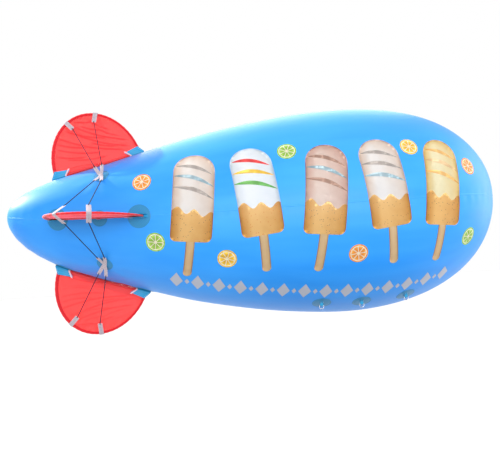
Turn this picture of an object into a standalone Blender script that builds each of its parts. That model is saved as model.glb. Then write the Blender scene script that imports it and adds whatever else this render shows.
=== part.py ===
"""Helium advertising blimp balloon: hollow envelope, four stayed tail fins, filler valve, tether rings.

Metres, +X towards the nose, +Y to port, +Z up. The origin is midway between the two tips.
Azimuth runs round the axis: 0 is starboard, 90 the top, 180 port and 270 the belly.
"""
import bpy
import bmesh
from math import acos, atan2, cos, exp, pi, radians, sin, sqrt
from mathutils import Vector

# Envelope
LENGTH = 4.0
PROFILE_TAIL = 0.0870    # fullness of the whole profile
PROFILE_NOSE = 0.2523    # extra fullness that grows towards the nose
WAIST = 0.0096           # fullness taken away where the fins stand
WAIST_AT = 0.1839        # middle and reach of this waist, as shares of the length
WAIST_REACH = 0.13
SAG = 0.0547             # how far the middle of the envelope hangs below the line through its tips
TAIL_SAG = 0.1505        # and how much lower it hangs at the tail
TAIL_SAG_REACH = 0.1811
WALL = 0.010
RINGS = 32
SIDES = 40
CLEAR = 0.0003           # gap between pieces that touch

# Fins: a sleeved rod bent to an arch over a base rod, with cloth stretched inside
FIN_REAR = 0.0973        # stations are shares of the length, from the tail
FIN_FRONT = 0.2649
FIN_HEIGHT = 0.431
FIN_LEAN = 0.011         # the arch's top leans this far to the rear
ROD_R = 0.010
ROD_SIDES = 8
ARCH_STEPS = 26
BASE_STEPS = 7
CLOTH_THICK = 0.003
CLOTH_GAP = 0.0005
FINS = {"starboard": 0, "top": 90, "port": 180, "bottom": 270}

# Round patches welded to the envelope, and the saddles on them that hold the base rod
PATCH_LIFT = 0.0009      # of the largest patches, whose flat facets dip towards the envelope
PATCH_THICK = 0.0020
PATCH_SIDES = 16
WEB_THICK = 0.0020
RUN = 0.0010             # room round a rod in its saddle
SINK = 0.0012            # how deep a saddle is welded into its patch
BASE_LIFT = PATCH_LIFT + PATCH_THICK - SINK + WEB_THICK + RUN + ROD_R
SADDLES = (
    # name, patch station, patch radius, saddle centre's share of the chord, length, leg height
    ("rear_pocket", 0.1065, 0.083, 0.065, 0.120, 0.044),
    ("mid_loop", 0.1850, 0.060, 0.520, 0.030, 0.014),
    ("front_pocket", 0.2575, 0.088, 0.935, 0.120, 0.044),
)

# White webbing tabs folded over the rim, and the stays that run from them to the anchors
RIM_TABS = {"rear": radians(111), "front": radians(70.5)}   # angle along the arch, from its front end
TAB_WIDTH = 0.036
TAB_LENGTH = 0.100
TAB_THICK = 0.0018
TAB_RUN = 0.0006
STAY_R = 0.0027
STAY_SIDES = 6
STAY_END = 0.0012        # gap between a stay's cut end and its rim tab
ANCHOR_STATION = 0.1890
ANCHOR_R = 0.062
ANCHORS = {"upper_starboard": 47, "upper_port": 133, "lower_port": 227, "lower_starboard": 313}
NEXT_TO = 60                   # a fin and an anchor less than this many degrees apart share a stay
HUB_HALF = (0.026, 0.018)      # half length along the axis, half width round it
HUB_THICK = 0.0020
HUB_NOTCH = 0.001              # half the gap between two arms at their roots
ARM_REACH = 0.078
ARM_WIDTH = 0.028
ARM_UNDER = 0.0012             # room between an arm's end and its stay
APEX_OUT = 0.0225              # each stay turns round this far off the hub's middle
APEX_R = 0.018

# Tether lugs under the belly
LUG_STATIONS = {"rear": 0.600, "middle": 0.680, "front": 0.772}
LUG_AZIMUTH = {"starboard": 297, "port": 243}
LUG_PATCH_R = 0.075
LUG_DROP = 0.020              # ring axis below the patch
LUG_WIDTH = 0.025
RING_WIRE = 0.0025
RING_HALF = 0.0175
RING_STRAIGHT = 0.008
RING_STEPS = 7
RING_RUN = 0.0006

# Filler valve on the port flank, with a cap that flips up on its hinge
VALVE_STATION = 0.320
VALVE_AZIMUTH = 155
FLANGE_R = 0.050
FLANGE_THICK = 0.003
NECK_R = 0.024
NECK_TOP = 0.022
NECK_DEEP = 0.016
CUT_OUT = 0.050               # how far the tools that cut the film and the neck reach out
CUT_IN = 0.100                # and in
BORE_R = 0.019
LIP_R = 0.028
LIP_THICK = 0.004
CAP_R = 0.030
CAP_THICK = 0.004
PLUG_R = 0.016
PLUG_DEEP = 0.005
HINGE_OUT = 0.034
HINGE_UP = 0.0244
PIN_R = 0.0016
KNUCKLE_R = 0.0034
KNUCKLE_BORE = 0.0020
KNUCKLE_HALF = 0.006
KNUCKLE_SIDES = 12
TONGUE_IN = 0.001             # the cap's tongue is this much narrower than its knuckle on each side
EAR_HALF = 0.011
EAR_FOOT = 0.0165             # height of the ears' underside
EAR_STEP = 0.0215             # top of the arm between the neck and the hinge
EAR_TOP = 0.0280
EAR_WALL = 0.0030             # plastic round the pin, along the balloon's skin
PIN_SIDES = 10
VALVE_SIDES = 24
CAP_GAP = 0.0004

NOSE_PATCH_R = 0.070

STATION_STEP = 0.002          # for the direction of the skin at a station
ANGLE_STEP = 0.01             # for the direction of a fin's arch, in radians

COLOURS = {
    # sRGB colour, roughness
    "envelope": ((0.27, 0.66, 0.96), 0.35),
    "patch": ((0.25, 0.50, 0.68), 0.5),
    "pocket": ((0.16, 0.56, 0.78), 0.5),
    "fin_cloth": ((0.98, 0.38, 0.38), 0.6),
    "fin_sleeve": ((0.82, 0.07, 0.13), 0.6),
    "webbing": ((0.93, 0.93, 0.95), 0.7),
    "cord": ((0.07, 0.09, 0.22), 0.7),
    "steel": ((0.75, 0.76, 0.78), 0.3),
    "valve": ((0.88, 0.89, 0.90), 0.4),
}


def linear(channel):
    return channel / 12.92 if channel <= 0.04045 else ((channel + 0.055) / 1.055) ** 2.4


def material(name, finish):
    colour, rough = COLOURS[finish]
    made = bpy.data.materials.new(name)
    made.use_nodes = True
    shader = made.node_tree.nodes["Principled BSDF"]
    shader.inputs["Base Color"].default_value = [linear(c) for c in colour] + [1.0]
    shader.inputs["Roughness"].default_value = rough
    shader.inputs["Metallic"].default_value = 1.0 if finish == "steel" else 0.0
    made.diffuse_color = [linear(c) for c in colour] + [1.0]
    return made


def solid(name, verts, faces, finish, smooth=30):
    """A closed body from its corners and faces, with every face pointing out."""
    mesh = bpy.data.meshes.new(name)
    mesh.from_pydata([tuple(v) for v in verts], [], faces)
    shape = bmesh.new()
    shape.from_mesh(mesh)
    bmesh.ops.recalc_face_normals(shape, faces=shape.faces)
    shape.to_mesh(mesh)
    shape.free()
    mesh.materials.append(material(name, finish))
    mesh.shade_smooth()
    mesh.set_sharp_from_angle(angle=radians(smooth))
    made = bpy.data.objects.new(name, mesh)
    bpy.context.scene.collection.objects.link(made)
    return made


def combine(target, tool, operation):
    """Join or cut target with tool, which stays in the file as a hidden guide."""
    tool.hide_render = True
    tool.display_type = "WIRE"
    step = target.modifiers.new(operation.title(), "BOOLEAN")
    step.operation = operation
    step.solver = "EXACT"
    step.object = tool


# The envelope's surface


def droop(station):
    """How far the middle of the envelope lies below the line through its tips, and how fast that grows."""
    tail = TAIL_SAG * exp(-station / TAIL_SAG_REACH)
    bow = 4 * station * (1 - station)
    return bow * (SAG + tail), 4 * (1 - 2 * station) * (SAG + tail) - bow * tail / TAIL_SAG_REACH


def surface(station, azimuth):
    """Point and outward normal of the envelope at a share of the length and an azimuth in degrees."""
    turn = acos(max(-1.0, min(1.0, 1 - 2 * station)))
    if sin(turn) < 1e-6:
        end = 1 if station > 0.5 else -1
        return Vector((end * LENGTH / 2, 0, 0)), Vector((end, 0, 0))
    around = radians(azimuth)
    off = (station - WAIST_AT) / WAIST_REACH
    drawn_in = WAIST * exp(-off ** 2)
    full = sqrt(PROFILE_TAIL + PROFILE_NOSE * station ** 2 - drawn_in)
    swell = PROFILE_NOSE * station + drawn_in * off / WAIST_REACH
    radius = LENGTH / 2 * sin(turn) * full
    growth = LENGTH / 2 * (cos(turn) * full + sin(turn) ** 2 * swell / (2 * full))
    low, slope = droop(station)
    along = Vector((
        LENGTH / 2 * sin(turn),
        -growth * cos(around),
        growth * sin(around) - slope * sin(turn) / 2))
    across = Vector((0, sin(around), cos(around)))
    point = Vector((
        (station - 0.5) * LENGTH,
        -radius * cos(around),
        radius * sin(around) - low))
    return point, along.cross(across).normalized()


def skin(station, azimuth, lift=0.0):
    point, normal = surface(station, azimuth)
    return point + normal * lift


def skin_frame(station, azimuth):
    """Point, normal, direction towards the nose and direction round the envelope."""
    point, normal = surface(station, azimuth)
    before, after = (surface(station + step, azimuth)[0] for step in (-STATION_STEP, STATION_STEP))
    ahead = (after - before).normalized()
    return point, normal, ahead, normal.cross(ahead).normalized()


def skin_below(point, lift):
    """The envelope's point nearest to a point close above it, raised by lift."""
    station = point.x / LENGTH + 0.5
    for _ in range(4):
        azimuth = atan2(point.z + droop(station)[0], -point.y) * 180 / pi
        found, normal = surface(station, azimuth)
        station += (point - found).dot(Vector((1, 0, 0)) - normal * normal.x) / LENGTH
    return skin(station, azimuth, lift)


def grid_faces(rows, sides, first, last):
    """Quads between rows of a turned shape, closed at its two poles."""
    faces = [(first, r, (r + 1) % sides) for r in range(sides)]
    for row in range(rows - 1):
        for side in range(sides):
            a, b = row * sides + side, row * sides + (side + 1) % sides
            faces.append((a, a + sides, b + sides, b))
    end = (rows - 1) * sides
    faces += [(end + (side + 1) % sides, end + side, last) for side in range(sides)]
    return faces


def envelope():
    verts, faces = [], []
    for lift, flip in ((0.0, False), (-WALL, True)):
        start = len(verts)
        for row in range(1, RINGS):
            station = (1 - cos(pi * row / RINGS)) / 2
            verts += [skin(station, 360 * side / SIDES, lift) for side in range(SIDES)]
        verts += [skin(0.0, 0, lift), skin(1.0, 0, lift)]
        count = (RINGS - 1) * SIDES
        for face in grid_faces(RINGS - 1, SIDES, count, count + 1):
            moved = tuple(start + index for index in face)
            faces.append(moved[::-1] if flip else moved)
    mesh = bpy.data.meshes.new("envelope")
    mesh.from_pydata([tuple(v) for v in verts], [], faces)
    mesh.materials.append(material("envelope", "envelope"))
    mesh.shade_smooth()
    made = bpy.data.objects.new("envelope", mesh)
    bpy.context.scene.collection.objects.link(made)
    return made


# General shapes


def sweep(name, path, plane, radius, sides, finish, closed=False, phase=0.0):
    """A round bar along a path that lies in one plane, mitred at its corners."""
    count = len(path)
    verts = []
    for index, point in enumerate(path):
        before = path[index - 1] if closed or index else None
        after = path[(index + 1) % count] if closed or index < count - 1 else None
        into = (point - before).normalized() if before is not None else (after - point).normalized()
        out = (after - point).normalized() if after is not None else into
        tangent = (into + out).normalized()
        side = plane.cross(tangent)
        stretch = 1 / max(0.5, tangent.dot(out))
        for step in range(sides):
            angle = phase + 2 * pi * step / sides
            verts.append(point + (plane * cos(angle) + side * sin(angle) * stretch) * radius)
    faces = []
    for index in range(count if closed else count - 1):
        for step in range(sides):
            a, b = index * sides + step, index * sides + (step + 1) % sides
            c, d = a % sides + (index + 1) % count * sides, b % sides + (index + 1) % count * sides
            faces.append((a, b, d, c))
    if not closed:
        faces.append(tuple(range(sides)))
        faces.append(tuple(range((count - 1) * sides, count * sides)))
    return solid(name, verts, faces, finish)


def ribbon(name, path, normals, half_width, thick, finish):
    """A strap along a path: half_width is a vector across it, and normals point through it."""
    verts = []
    for point, normal in zip(path, normals):
        half = normal * thick / 2
        verts += [point + half + half_width, point - half + half_width,
                  point - half - half_width, point + half - half_width]
    faces = [(0, 1, 2, 3)]
    for index in range(len(path) - 1):
        for corner in range(4):
            a, b = index * 4 + corner, index * 4 + (corner + 1) % 4
            faces.append((a, b, b + 4, a + 4))
    last = len(verts) - 4
    faces.append((last, last + 1, last + 2, last + 3))
    return solid(name, verts, faces, finish)


def u_path(centre, down, across, radius, leg, steps=6):
    """Path and normals of a strap that goes down one side of a rod, round it and up the other."""
    path = [centre - down * leg - across * radius]
    normals = [-across]
    for step in range(steps + 1):
        angle = pi * step / steps
        out = -across * cos(angle) + down * sin(angle)
        path.append(centre + out * radius)
        normals.append(out)
    path.append(centre - down * leg + across * radius)
    normals.append(across)
    return path, normals


def patch_lift(station, radius, rings=2):
    """Height of a patch's underside that keeps its flat facets just clear of the envelope."""
    centre = surface(station, 0)[0]
    return CLEAR + (radius / rings) ** 2 / (8 * abs(centre.y))


def disc(name, station, azimuth, radius, finish, rings=2):
    """A round patch that follows the envelope."""
    centre, normal, ahead, around = skin_frame(station, azimuth)
    under = patch_lift(station, radius, rings)
    flat = [Vector((0, 0))]
    for ring in range(1, rings + 1):
        for side in range(PATCH_SIDES):
            angle = 2 * pi * side / PATCH_SIDES
            flat.append(Vector((cos(angle), sin(angle))) * radius * ring / rings)
    verts = []
    for lift in (under, under + PATCH_THICK):
        verts += [skin_below(centre + ahead * p.x + around * p.y, lift) for p in flat]
    size = len(flat)
    faces = []
    for side in range(PATCH_SIDES):
        after = (side + 1) % PATCH_SIDES
        faces.append((0, 1 + side, 1 + after))
        for ring in range(rings - 1):
            a, b = 1 + ring * PATCH_SIDES + side, 1 + ring * PATCH_SIDES + after
            faces.append((a, a + PATCH_SIDES, b + PATCH_SIDES, b))
    faces += [tuple(index + size for index in face[::-1]) for face in faces]
    edge = 1 + (rings - 1) * PATCH_SIDES
    for side in range(PATCH_SIDES):
        a, b = edge + side, edge + (side + 1) % PATCH_SIDES
        faces.append((a, b, b + size, a + size))
    return solid(name, verts, faces, finish)


# Fins


class Fin:
    """Places on one fin: chord ends on the base rod, chord direction, outward and sideways."""

    def __init__(self, azimuth):
        self.azimuth = azimuth
        self.rear = skin(FIN_REAR, azimuth, BASE_LIFT)
        self.front = skin(FIN_FRONT, azimuth, BASE_LIFT)
        self.chord = (self.front - self.rear).length
        self.ahead = (self.front - self.rear).normalized()
        radial = Vector((0, -cos(radians(azimuth)), sin(radians(azimuth))))
        self.out = (radial - self.ahead * radial.dot(self.ahead)).normalized()
        self.side = self.ahead.cross(self.out).normalized()

    def arch(self, angle):
        along = self.chord / 2 * (1 + cos(angle)) - FIN_LEAN * sin(angle)
        return self.rear + self.ahead * along + self.out * FIN_HEIGHT * sin(angle)

    def base(self, share):
        """Point on the base rod, which follows the envelope in the fin's plane."""
        point = skin(FIN_REAR + (FIN_FRONT - FIN_REAR) * share, self.azimuth, BASE_LIFT)
        return point - self.side * (point - self.rear).dot(self.side)

    def loop(self):
        arch = [self.arch(pi * step / ARCH_STEPS) for step in range(ARCH_STEPS)]
        return arch + [self.base(step / BASE_STEPS) for step in range(BASE_STEPS)]

    def rim(self, angle):
        """Point, direction along the arch and direction into the fin at an angle of the arch."""
        point = self.arch(angle)
        along = (self.arch(angle - ANGLE_STEP) - self.arch(angle + ANGLE_STEP)).normalized()
        inward = self.side.cross(along).normalized()
        if inward.dot(self.out) > 0:
            inward = -inward
        return point, along, inward


def fin_panel(name, fin):
    """The cloth: a thin flat plate just inside the rods."""
    loop = fin.loop()
    count = len(loop)
    middle = sum(loop, Vector()) / count
    edge = []
    for index, point in enumerate(loop):
        into = (point - loop[index - 1]).normalized()
        out = (loop[(index + 1) % count] - point).normalized()
        tangent = (into + out).normalized()
        inward = fin.side.cross(tangent)
        if inward.dot(middle - point) < 0:
            inward = -inward
        edge.append(point + inward * (ROD_R + CLOTH_GAP) / max(0.5, tangent.dot(out)))
    half = fin.side * CLOTH_THICK / 2
    verts = [p + half for p in edge] + [p - half for p in edge]
    faces = [tuple(range(count)), tuple(range(2 * count - 1, count - 1, -1))]
    for index in range(count):
        after = (index + 1) % count
        faces.append((index, index + count, after + count, after))
    return solid(name, verts, faces, "fin_cloth")


def saddle(name, fin, station, patch_r, share, length, leg, finish):
    """A round patch with a folded web on it that holds the fin's base rod."""
    patch = disc(name, station, fin.azimuth, patch_r, finish)
    reach = length / 2 / fin.chord
    ends = fin.base(share - reach), fin.base(share + reach)
    centre = (fin.base(share) * 2 + ends[0] + ends[1]) / 4
    ahead = (ends[1] - ends[0]).normalized()
    out = fin.side.cross(ahead).normalized()
    if out.dot(fin.out) < 0:
        out = -out
    path, normals = u_path(centre, -out, fin.side, ROD_R + RUN + WEB_THICK / 2, leg)
    web = ribbon(name + "_web", path, normals, ahead * length / 2, WEB_THICK, finish)
    combine(patch, web, "UNION")
    return patch


def stay_end(fin, angle, anchor):
    """Where a tab's leg ends on the anchor's side, and the leg's direction and lean."""
    point, along, inward = fin.rim(angle)
    pull = anchor - point
    side = fin.side if pull.dot(fin.side) > 0 else -fin.side
    lean = atan2(pull.dot(side), pull.dot(inward))
    leg = inward * cos(lean) + side * sin(lean)
    outer = side * cos(lean) - inward * sin(lean)
    start = point + outer * (ROD_R + TAB_RUN + TAB_THICK / 2)
    return start + leg * TAB_LENGTH, leg, lean


def rim_tab(name, fin, angle, anchors):
    """White webbing folded over the rim, each leg flared towards the anchor on its side."""
    point, along, inward = fin.rim(angle)
    lean = {(anchor - point).dot(fin.side) > 0: stay_end(fin, angle, anchor)[2] for anchor in anchors}
    radius = ROD_R + TAB_RUN + TAB_THICK / 2
    steps = 6
    path, normals = [], []
    for step in range(steps + 1):
        swing = lean[False] - pi / 2 + (pi - lean[False] - lean[True]) * step / steps
        out = -inward * cos(swing) + fin.side * sin(swing)
        path.append(point + out * radius)
        normals.append(out)
    for sign, place in ((-1, 0), (1, len(path) + 1)):
        leg = inward * cos(lean[sign > 0]) + fin.side * sign * sin(lean[sign > 0])
        first = path[0] if sign < 0 else path[-1]
        turn = normals[0] if sign < 0 else normals[-1]
        path.insert(place, first + leg * TAB_LENGTH)
        normals.insert(place, turn)
    return ribbon(name, path, normals, along * TAB_WIDTH / 2, TAB_THICK, "webbing")


# Anchors and stays


def is_next_to(azimuth, other):
    return min((azimuth - other) % 360, (other - azimuth) % 360) < NEXT_TO


def anchor_apex(anchor_azimuth, fin):
    """Middle of the turn that one fin's stay makes on an anchor's hub."""
    centre, normal, ahead, around = skin_frame(ANCHOR_STATION, anchor_azimuth)
    towards = around if (fin.front - centre).dot(around) > 0 else -around
    under = patch_lift(ANCHOR_STATION, ANCHOR_R)
    height = under + PATCH_THICK + CLEAR + HUB_THICK + CLEAR + STAY_R
    seat = centre + normal * height + towards * APEX_OUT
    rise = sum(stay_legs(fin, seat)[1], Vector()).normalized()
    return seat + normal * rise.dot(normal) * APEX_R, normal, ahead, towards


def stay_legs(fin, apex):
    """Ends of a fin's two stays, the ways to them, and the way off each to the outside of the turn."""
    ends = [stay_end(fin, RIM_TABS[place], apex)[0] for place in ("rear", "front")]
    legs = [(end - apex).normalized() for end in ends]
    plane = legs[0].cross(legs[1]).normalized()
    return ends, legs, (plane.cross(legs[0]) * -1, plane.cross(legs[1]))


def anchor_tabs(name, azimuth, fins):
    """Four webbing arms sewn to a hub, each under its own stay."""
    centre, normal, ahead, around = skin_frame(ANCHOR_STATION, azimuth)
    under = patch_lift(ANCHOR_STATION, ANCHOR_R)
    base = centre + normal * (under + PATCH_THICK + CLEAR + HUB_THICK / 2)
    half_long, half_wide = HUB_HALF
    verts, faces, rows = [], [], []
    for fin in fins:
        apex, _, _, towards = anchor_apex(azimuth, fin)
        row = len(verts)
        rows.append(row)
        for along in (-half_long, -HUB_NOTCH, HUB_NOTCH, half_long):
            verts.append(base + ahead * along + towards * half_wide)
        for end, run, outside, root in zip(*stay_legs(fin, apex), (row, row + 2)):
            across = run.cross(normal).normalized()
            if across.dot(ahead) < 0:
                across = -across
            off = outside * APEX_R * (1 - ARM_REACH / (end - apex).length)
            tip = apex + run * ARM_REACH + off - normal * (STAY_R + ARM_UNDER + HUB_THICK / 2)
            far = len(verts)
            verts += [tip - across * ARM_WIDTH / 2, tip + across * ARM_WIDTH / 2]
            faces.append((root, root + 1, far + 1, far))
    for step in range(3):
        faces.append((rows[0] + step, rows[0] + step + 1, rows[1] + step + 1, rows[1] + step))
    made = solid(name, verts, faces, "webbing")
    thick = made.modifiers.new("Thickness", "SOLIDIFY")
    thick.thickness = HUB_THICK
    thick.offset = 0
    thick.use_even_offset = True
    return made


def stay(name, azimuth, fin):
    """A cord from a fin's rear rim tab, round the anchor and back to its front rim tab."""
    apex = anchor_apex(azimuth, fin)[0]
    ends, legs, (first, second) = stay_legs(fin, apex)
    ends = [end - leg * STAY_END for end, leg in zip(ends, legs)]
    back = -(legs[0] + legs[1]).normalized()
    turn = (first, first * 2 + back, first + back * 1.5, back,
            second + back * 1.5, second * 2 + back, second)
    path = [ends[0]] + [apex + out.normalized() * APEX_R for out in turn] + [ends[1]]
    return sweep(name, path, legs[0].cross(legs[1]).normalized(), STAY_R, STAY_SIDES, "cord")


# Belly lugs


def lug_frame(station, azimuth):
    """Ring axis point, its direction, up along the hanging strap and the way across."""
    centre, normal, ahead, around = skin_frame(station, azimuth)
    up = (Vector((0, 0, 1)) - ahead * ahead.z).normalized()
    return centre - up * LUG_DROP, ahead, up, ahead.cross(up).normalized()


def lug(name, station, azimuth):
    """A round belly patch with a hanging strap loop for the tether ring."""
    patch = disc(name, station, azimuth, LUG_PATCH_R, "patch")
    axis, ahead, up, across = lug_frame(station, azimuth)
    seat, normal = surface(station, azimuth)
    seat = seat + normal * (patch_lift(station, LUG_PATCH_R) + PATCH_THICK / 2)
    radius = RING_WIRE + RING_RUN + WEB_THICK / 2
    path, normals = u_path(axis, -up, across, radius, 0.0)
    for end in (0, -1):
        path[end] = path[end] + up * (seat - path[end]).dot(normal) / up.dot(normal)
    web = ribbon(name + "_loop", path, normals, ahead * LUG_WIDTH / 2, WEB_THICK, "patch")
    combine(patch, web, "UNION")
    return patch


def tether_ring(name, station, azimuth):
    """A D-shaped steel ring that hangs by its straight bar."""
    axis, ahead, up, across = lug_frame(station, azimuth)
    path = [axis - ahead * RING_HALF, axis + ahead * RING_HALF]
    for step in range(RING_STEPS + 1):
        angle = pi * step / RING_STEPS
        path.append(axis - up * RING_STRAIGHT + (ahead * cos(angle) - up * sin(angle)) * RING_HALF)
    return sweep(name, path, across, RING_WIRE, 8, "steel", closed=True, phase=pi / 8)


# Filler valve


def turned(name, frame, profile, sides, finish):
    """A closed turned shape: profile lists radius and height, from the axis out and back to it."""
    centre, normal, ahead, around = frame
    verts = [centre + normal * profile[0][1]]
    for radius, height in profile[1:-1]:
        for side in range(sides):
            angle = 2 * pi * side / sides
            verts.append(centre + normal * height + (ahead * cos(angle) + around * sin(angle)) * radius)
    verts.append(centre + normal * profile[-1][1])
    last = len(verts) - 1
    faces = []
    for side in range(sides):
        after = (side + 1) % sides
        faces.append((0, 1 + side, 1 + after))
        for row in range(len(profile) - 3):
            a, b = 1 + row * sides + side, 1 + row * sides + after
            faces.append((a, a + sides, b + sides, b))
        end = 1 + (len(profile) - 3) * sides
        faces.append((end + side, last, end + after))
    return solid(name, verts, faces, finish)


def block(name, frame, low, high, finish):
    """A box between two corners, given round the envelope, ahead and up off it."""
    centre, normal, ahead, around = frame
    verts = []
    for out in (low[0], high[0]):
        for along in (low[1], high[1]):
            for height in (low[2], high[2]):
                verts.append(centre + around * out + ahead * along + normal * height)
    faces = [(0, 1, 3, 2), (4, 6, 7, 5), (0, 4, 5, 1), (2, 3, 7, 6), (0, 2, 6, 4), (1, 5, 7, 3)]
    return solid(name, verts, faces, finish)


def hinge_bar(name, frame, radius, half, sides, finish):
    centre, normal, ahead, around = frame
    middle = centre + around * HINGE_OUT + normal * HINGE_UP
    return sweep(name, [middle - ahead * half, middle + ahead * half], normal, radius, sides, finish)


def plug_tool(name, frame, radius, deep):
    """A round tool on the valve's axis, from below the film to well above it."""
    profile = [(0, -deep), (radius, -deep), (radius, CUT_OUT), (0, CUT_OUT)]
    return turned(name, frame, profile, VALVE_SIDES, "valve")


def valve(shell):
    centre, normal, ahead, around = skin_frame(VALVE_STATION, VALVE_AZIMUTH)
    if around.z < 0:
        around = -around
    frame = (centre, normal, ahead, around)
    hole = plug_tool("valve_hole", frame, NECK_R + CLEAR, CUT_IN)
    combine(shell, hole, "DIFFERENCE")

    neck = turned("valve_neck", frame, [
        (0, -NECK_DEEP), (NECK_R, -NECK_DEEP), (NECK_R, PATCH_LIFT), (FLANGE_R, PATCH_LIFT),
        (FLANGE_R, PATCH_LIFT + FLANGE_THICK), (NECK_R, PATCH_LIFT + FLANGE_THICK),
        (NECK_R, NECK_TOP - LIP_THICK), (LIP_R, NECK_TOP - LIP_THICK), (LIP_R, NECK_TOP), (0, NECK_TOP)],
        VALVE_SIDES, "valve")
    gap = KNUCKLE_HALF + CAP_GAP
    for place, near, far in (("rear", -EAR_HALF, -gap), ("front", gap, EAR_HALF)):
        foot = block(f"ear_foot_{place}", frame, (NECK_R, near, EAR_FOOT),
                     (HINGE_OUT + EAR_WALL, far, EAR_STEP), "valve")
        post = block(f"ear_post_{place}", frame, (HINGE_OUT - EAR_WALL, near, EAR_FOOT),
                     (HINGE_OUT + EAR_WALL, far, EAR_TOP), "valve")
        combine(neck, foot, "UNION")
        combine(neck, post, "UNION")
    combine(neck, hinge_bar("valve_pin", frame, PIN_R, EAR_HALF - TONGUE_IN, PIN_SIDES, "valve"), "UNION")
    combine(neck, plug_tool("valve_bore", frame, BORE_R, CUT_OUT), "DIFFERENCE")

    under = NECK_TOP + CAP_GAP
    cap = turned("valve_cap", frame, [
        (0, under - PLUG_DEEP), (PLUG_R, under - PLUG_DEEP), (PLUG_R, under), (CAP_R, under),
        (CAP_R, under + CAP_THICK), (0, under + CAP_THICK)], VALVE_SIDES, "valve")
    half = KNUCKLE_HALF - TONGUE_IN
    tongue = block("cap_tongue", frame, (NECK_R, -half, under + CLEAR),
                   (HINGE_OUT, half, under + CAP_THICK - CLEAR), "valve")
    combine(cap, tongue, "UNION")
    combine(cap, hinge_bar("cap_knuckle", frame, KNUCKLE_R, KNUCKLE_HALF, KNUCKLE_SIDES, "valve"), "UNION")
    combine(cap, hinge_bar("cap_bore", frame, KNUCKLE_BORE, EAR_HALF, KNUCKLE_SIDES, "valve"), "DIFFERENCE")


def nose_patch():
    """The round patch that closes the gores at the nose."""
    verts = []
    rings = 2
    for lift in (PATCH_LIFT, PATCH_LIFT + PATCH_THICK):
        verts.append(skin(1.0, 0, lift))
        for ring in range(1, rings + 1):
            reach = NOSE_PATCH_R * ring / rings
            short = (reach / LENGTH) ** 2 / (PROFILE_TAIL + PROFILE_NOSE)
            verts += [skin(1 - short, 360 * side / PATCH_SIDES, lift) for side in range(PATCH_SIDES)]
    size = len(verts) // 2
    faces = []
    for side in range(PATCH_SIDES):
        after = (side + 1) % PATCH_SIDES
        faces.append((0, 1 + side, 1 + after))
        faces.append((1 + side, 1 + PATCH_SIDES + side, 1 + PATCH_SIDES + after, 1 + after))
    faces += [tuple(index + size for index in face[::-1]) for face in faces]
    for side in range(PATCH_SIDES):
        a, b = 1 + PATCH_SIDES + side, 1 + PATCH_SIDES + (side + 1) % PATCH_SIDES
        faces.append((a, b, b + size, a + size))
    solid("nose_patch", verts, faces, "patch")


def build():
    for old in list(bpy.data.objects):
        bpy.data.objects.remove(old, do_unlink=True)

    shell = envelope()
    valve(shell)
    nose_patch()

    fins = {name: Fin(azimuth) for name, azimuth in FINS.items()}
    for name, fin in fins.items():
        sweep(f"fin_{name}_frame", fin.loop(), fin.side, ROD_R, ROD_SIDES, "fin_sleeve", closed=True)
        fin_panel(f"fin_{name}_panel", fin)
        for part, station, patch_r, share, length, leg in SADDLES:
            finish = "patch" if part == "mid_loop" else "pocket"
            saddle(f"fin_{name}_{part}", fin, station, patch_r, share, length, leg, finish)
        pair = [azimuth for azimuth in ANCHORS.values() if is_next_to(fin.azimuth, azimuth)]
        pulls = [anchor_apex(azimuth, fin)[0] for azimuth in pair]
        for place, angle in RIM_TABS.items():
            rim_tab(f"fin_{name}_{place}_rim_tab", fin, angle, pulls)

    for anchor, azimuth in ANCHORS.items():
        disc(f"anchor_{anchor}_patch", ANCHOR_STATION, azimuth, ANCHOR_R, "patch")
        pair = {name: fin for name, fin in fins.items() if is_next_to(fin.azimuth, azimuth)}
        anchor_tabs(f"anchor_{anchor}_tabs", azimuth, list(pair.values()))
        for name, fin in pair.items():
            stay(f"stay_{anchor}_to_{name}", azimuth, fin)

    for flank, azimuth in LUG_AZIMUTH.items():
        for place, station in LUG_STATIONS.items():
            lug(f"lug_{flank}_{place}", station, azimuth)
            tether_ring(f"ring_{flank}_{place}", station, azimuth)


build()
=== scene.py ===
# %% [markdown]
# # A flying advertising blimp
#
# The real thing is a four metre balloon of printed PVC film, filled with helium. Four red cloth fins stand
# on its tail, each stretched on bent rods and stayed with cords. This lesson dresses a plain solid model of
# it: every piece gets its fine shape, its stitches and its finish. All sizes are metres, +X is the nose and
# +Z is up. Azimuth runs round the balloon: 0 is starboard, 90 the top, 180 port and 270 the belly.

# %% Load the solid model
from math import acos, atan2, ceil, cos, exp, hypot, pi, radians, sin, sqrt, tau

import bmesh
import bpy
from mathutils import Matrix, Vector


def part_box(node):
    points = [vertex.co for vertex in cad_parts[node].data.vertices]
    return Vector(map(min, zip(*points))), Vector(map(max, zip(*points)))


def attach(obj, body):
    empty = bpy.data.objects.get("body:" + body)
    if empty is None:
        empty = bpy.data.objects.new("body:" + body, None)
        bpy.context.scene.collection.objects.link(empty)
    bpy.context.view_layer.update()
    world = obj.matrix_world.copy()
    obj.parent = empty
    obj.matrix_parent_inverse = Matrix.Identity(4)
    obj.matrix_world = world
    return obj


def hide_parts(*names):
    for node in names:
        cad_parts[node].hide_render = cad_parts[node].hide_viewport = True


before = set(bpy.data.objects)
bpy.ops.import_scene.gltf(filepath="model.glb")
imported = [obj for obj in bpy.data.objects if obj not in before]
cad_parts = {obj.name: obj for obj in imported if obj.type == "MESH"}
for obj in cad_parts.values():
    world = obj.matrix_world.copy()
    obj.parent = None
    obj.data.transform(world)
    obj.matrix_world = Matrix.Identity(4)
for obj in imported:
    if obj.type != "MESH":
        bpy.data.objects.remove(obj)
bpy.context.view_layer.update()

# %% [markdown]
# The camera stands where the photographer stood, a little below the balloon and to starboard, and looks
# slightly up. A camera could be aimed with a Track To constraint, but the picture is also tilted by a few
# degrees, so here the three turns are named and its axes are worked out from them.

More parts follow.
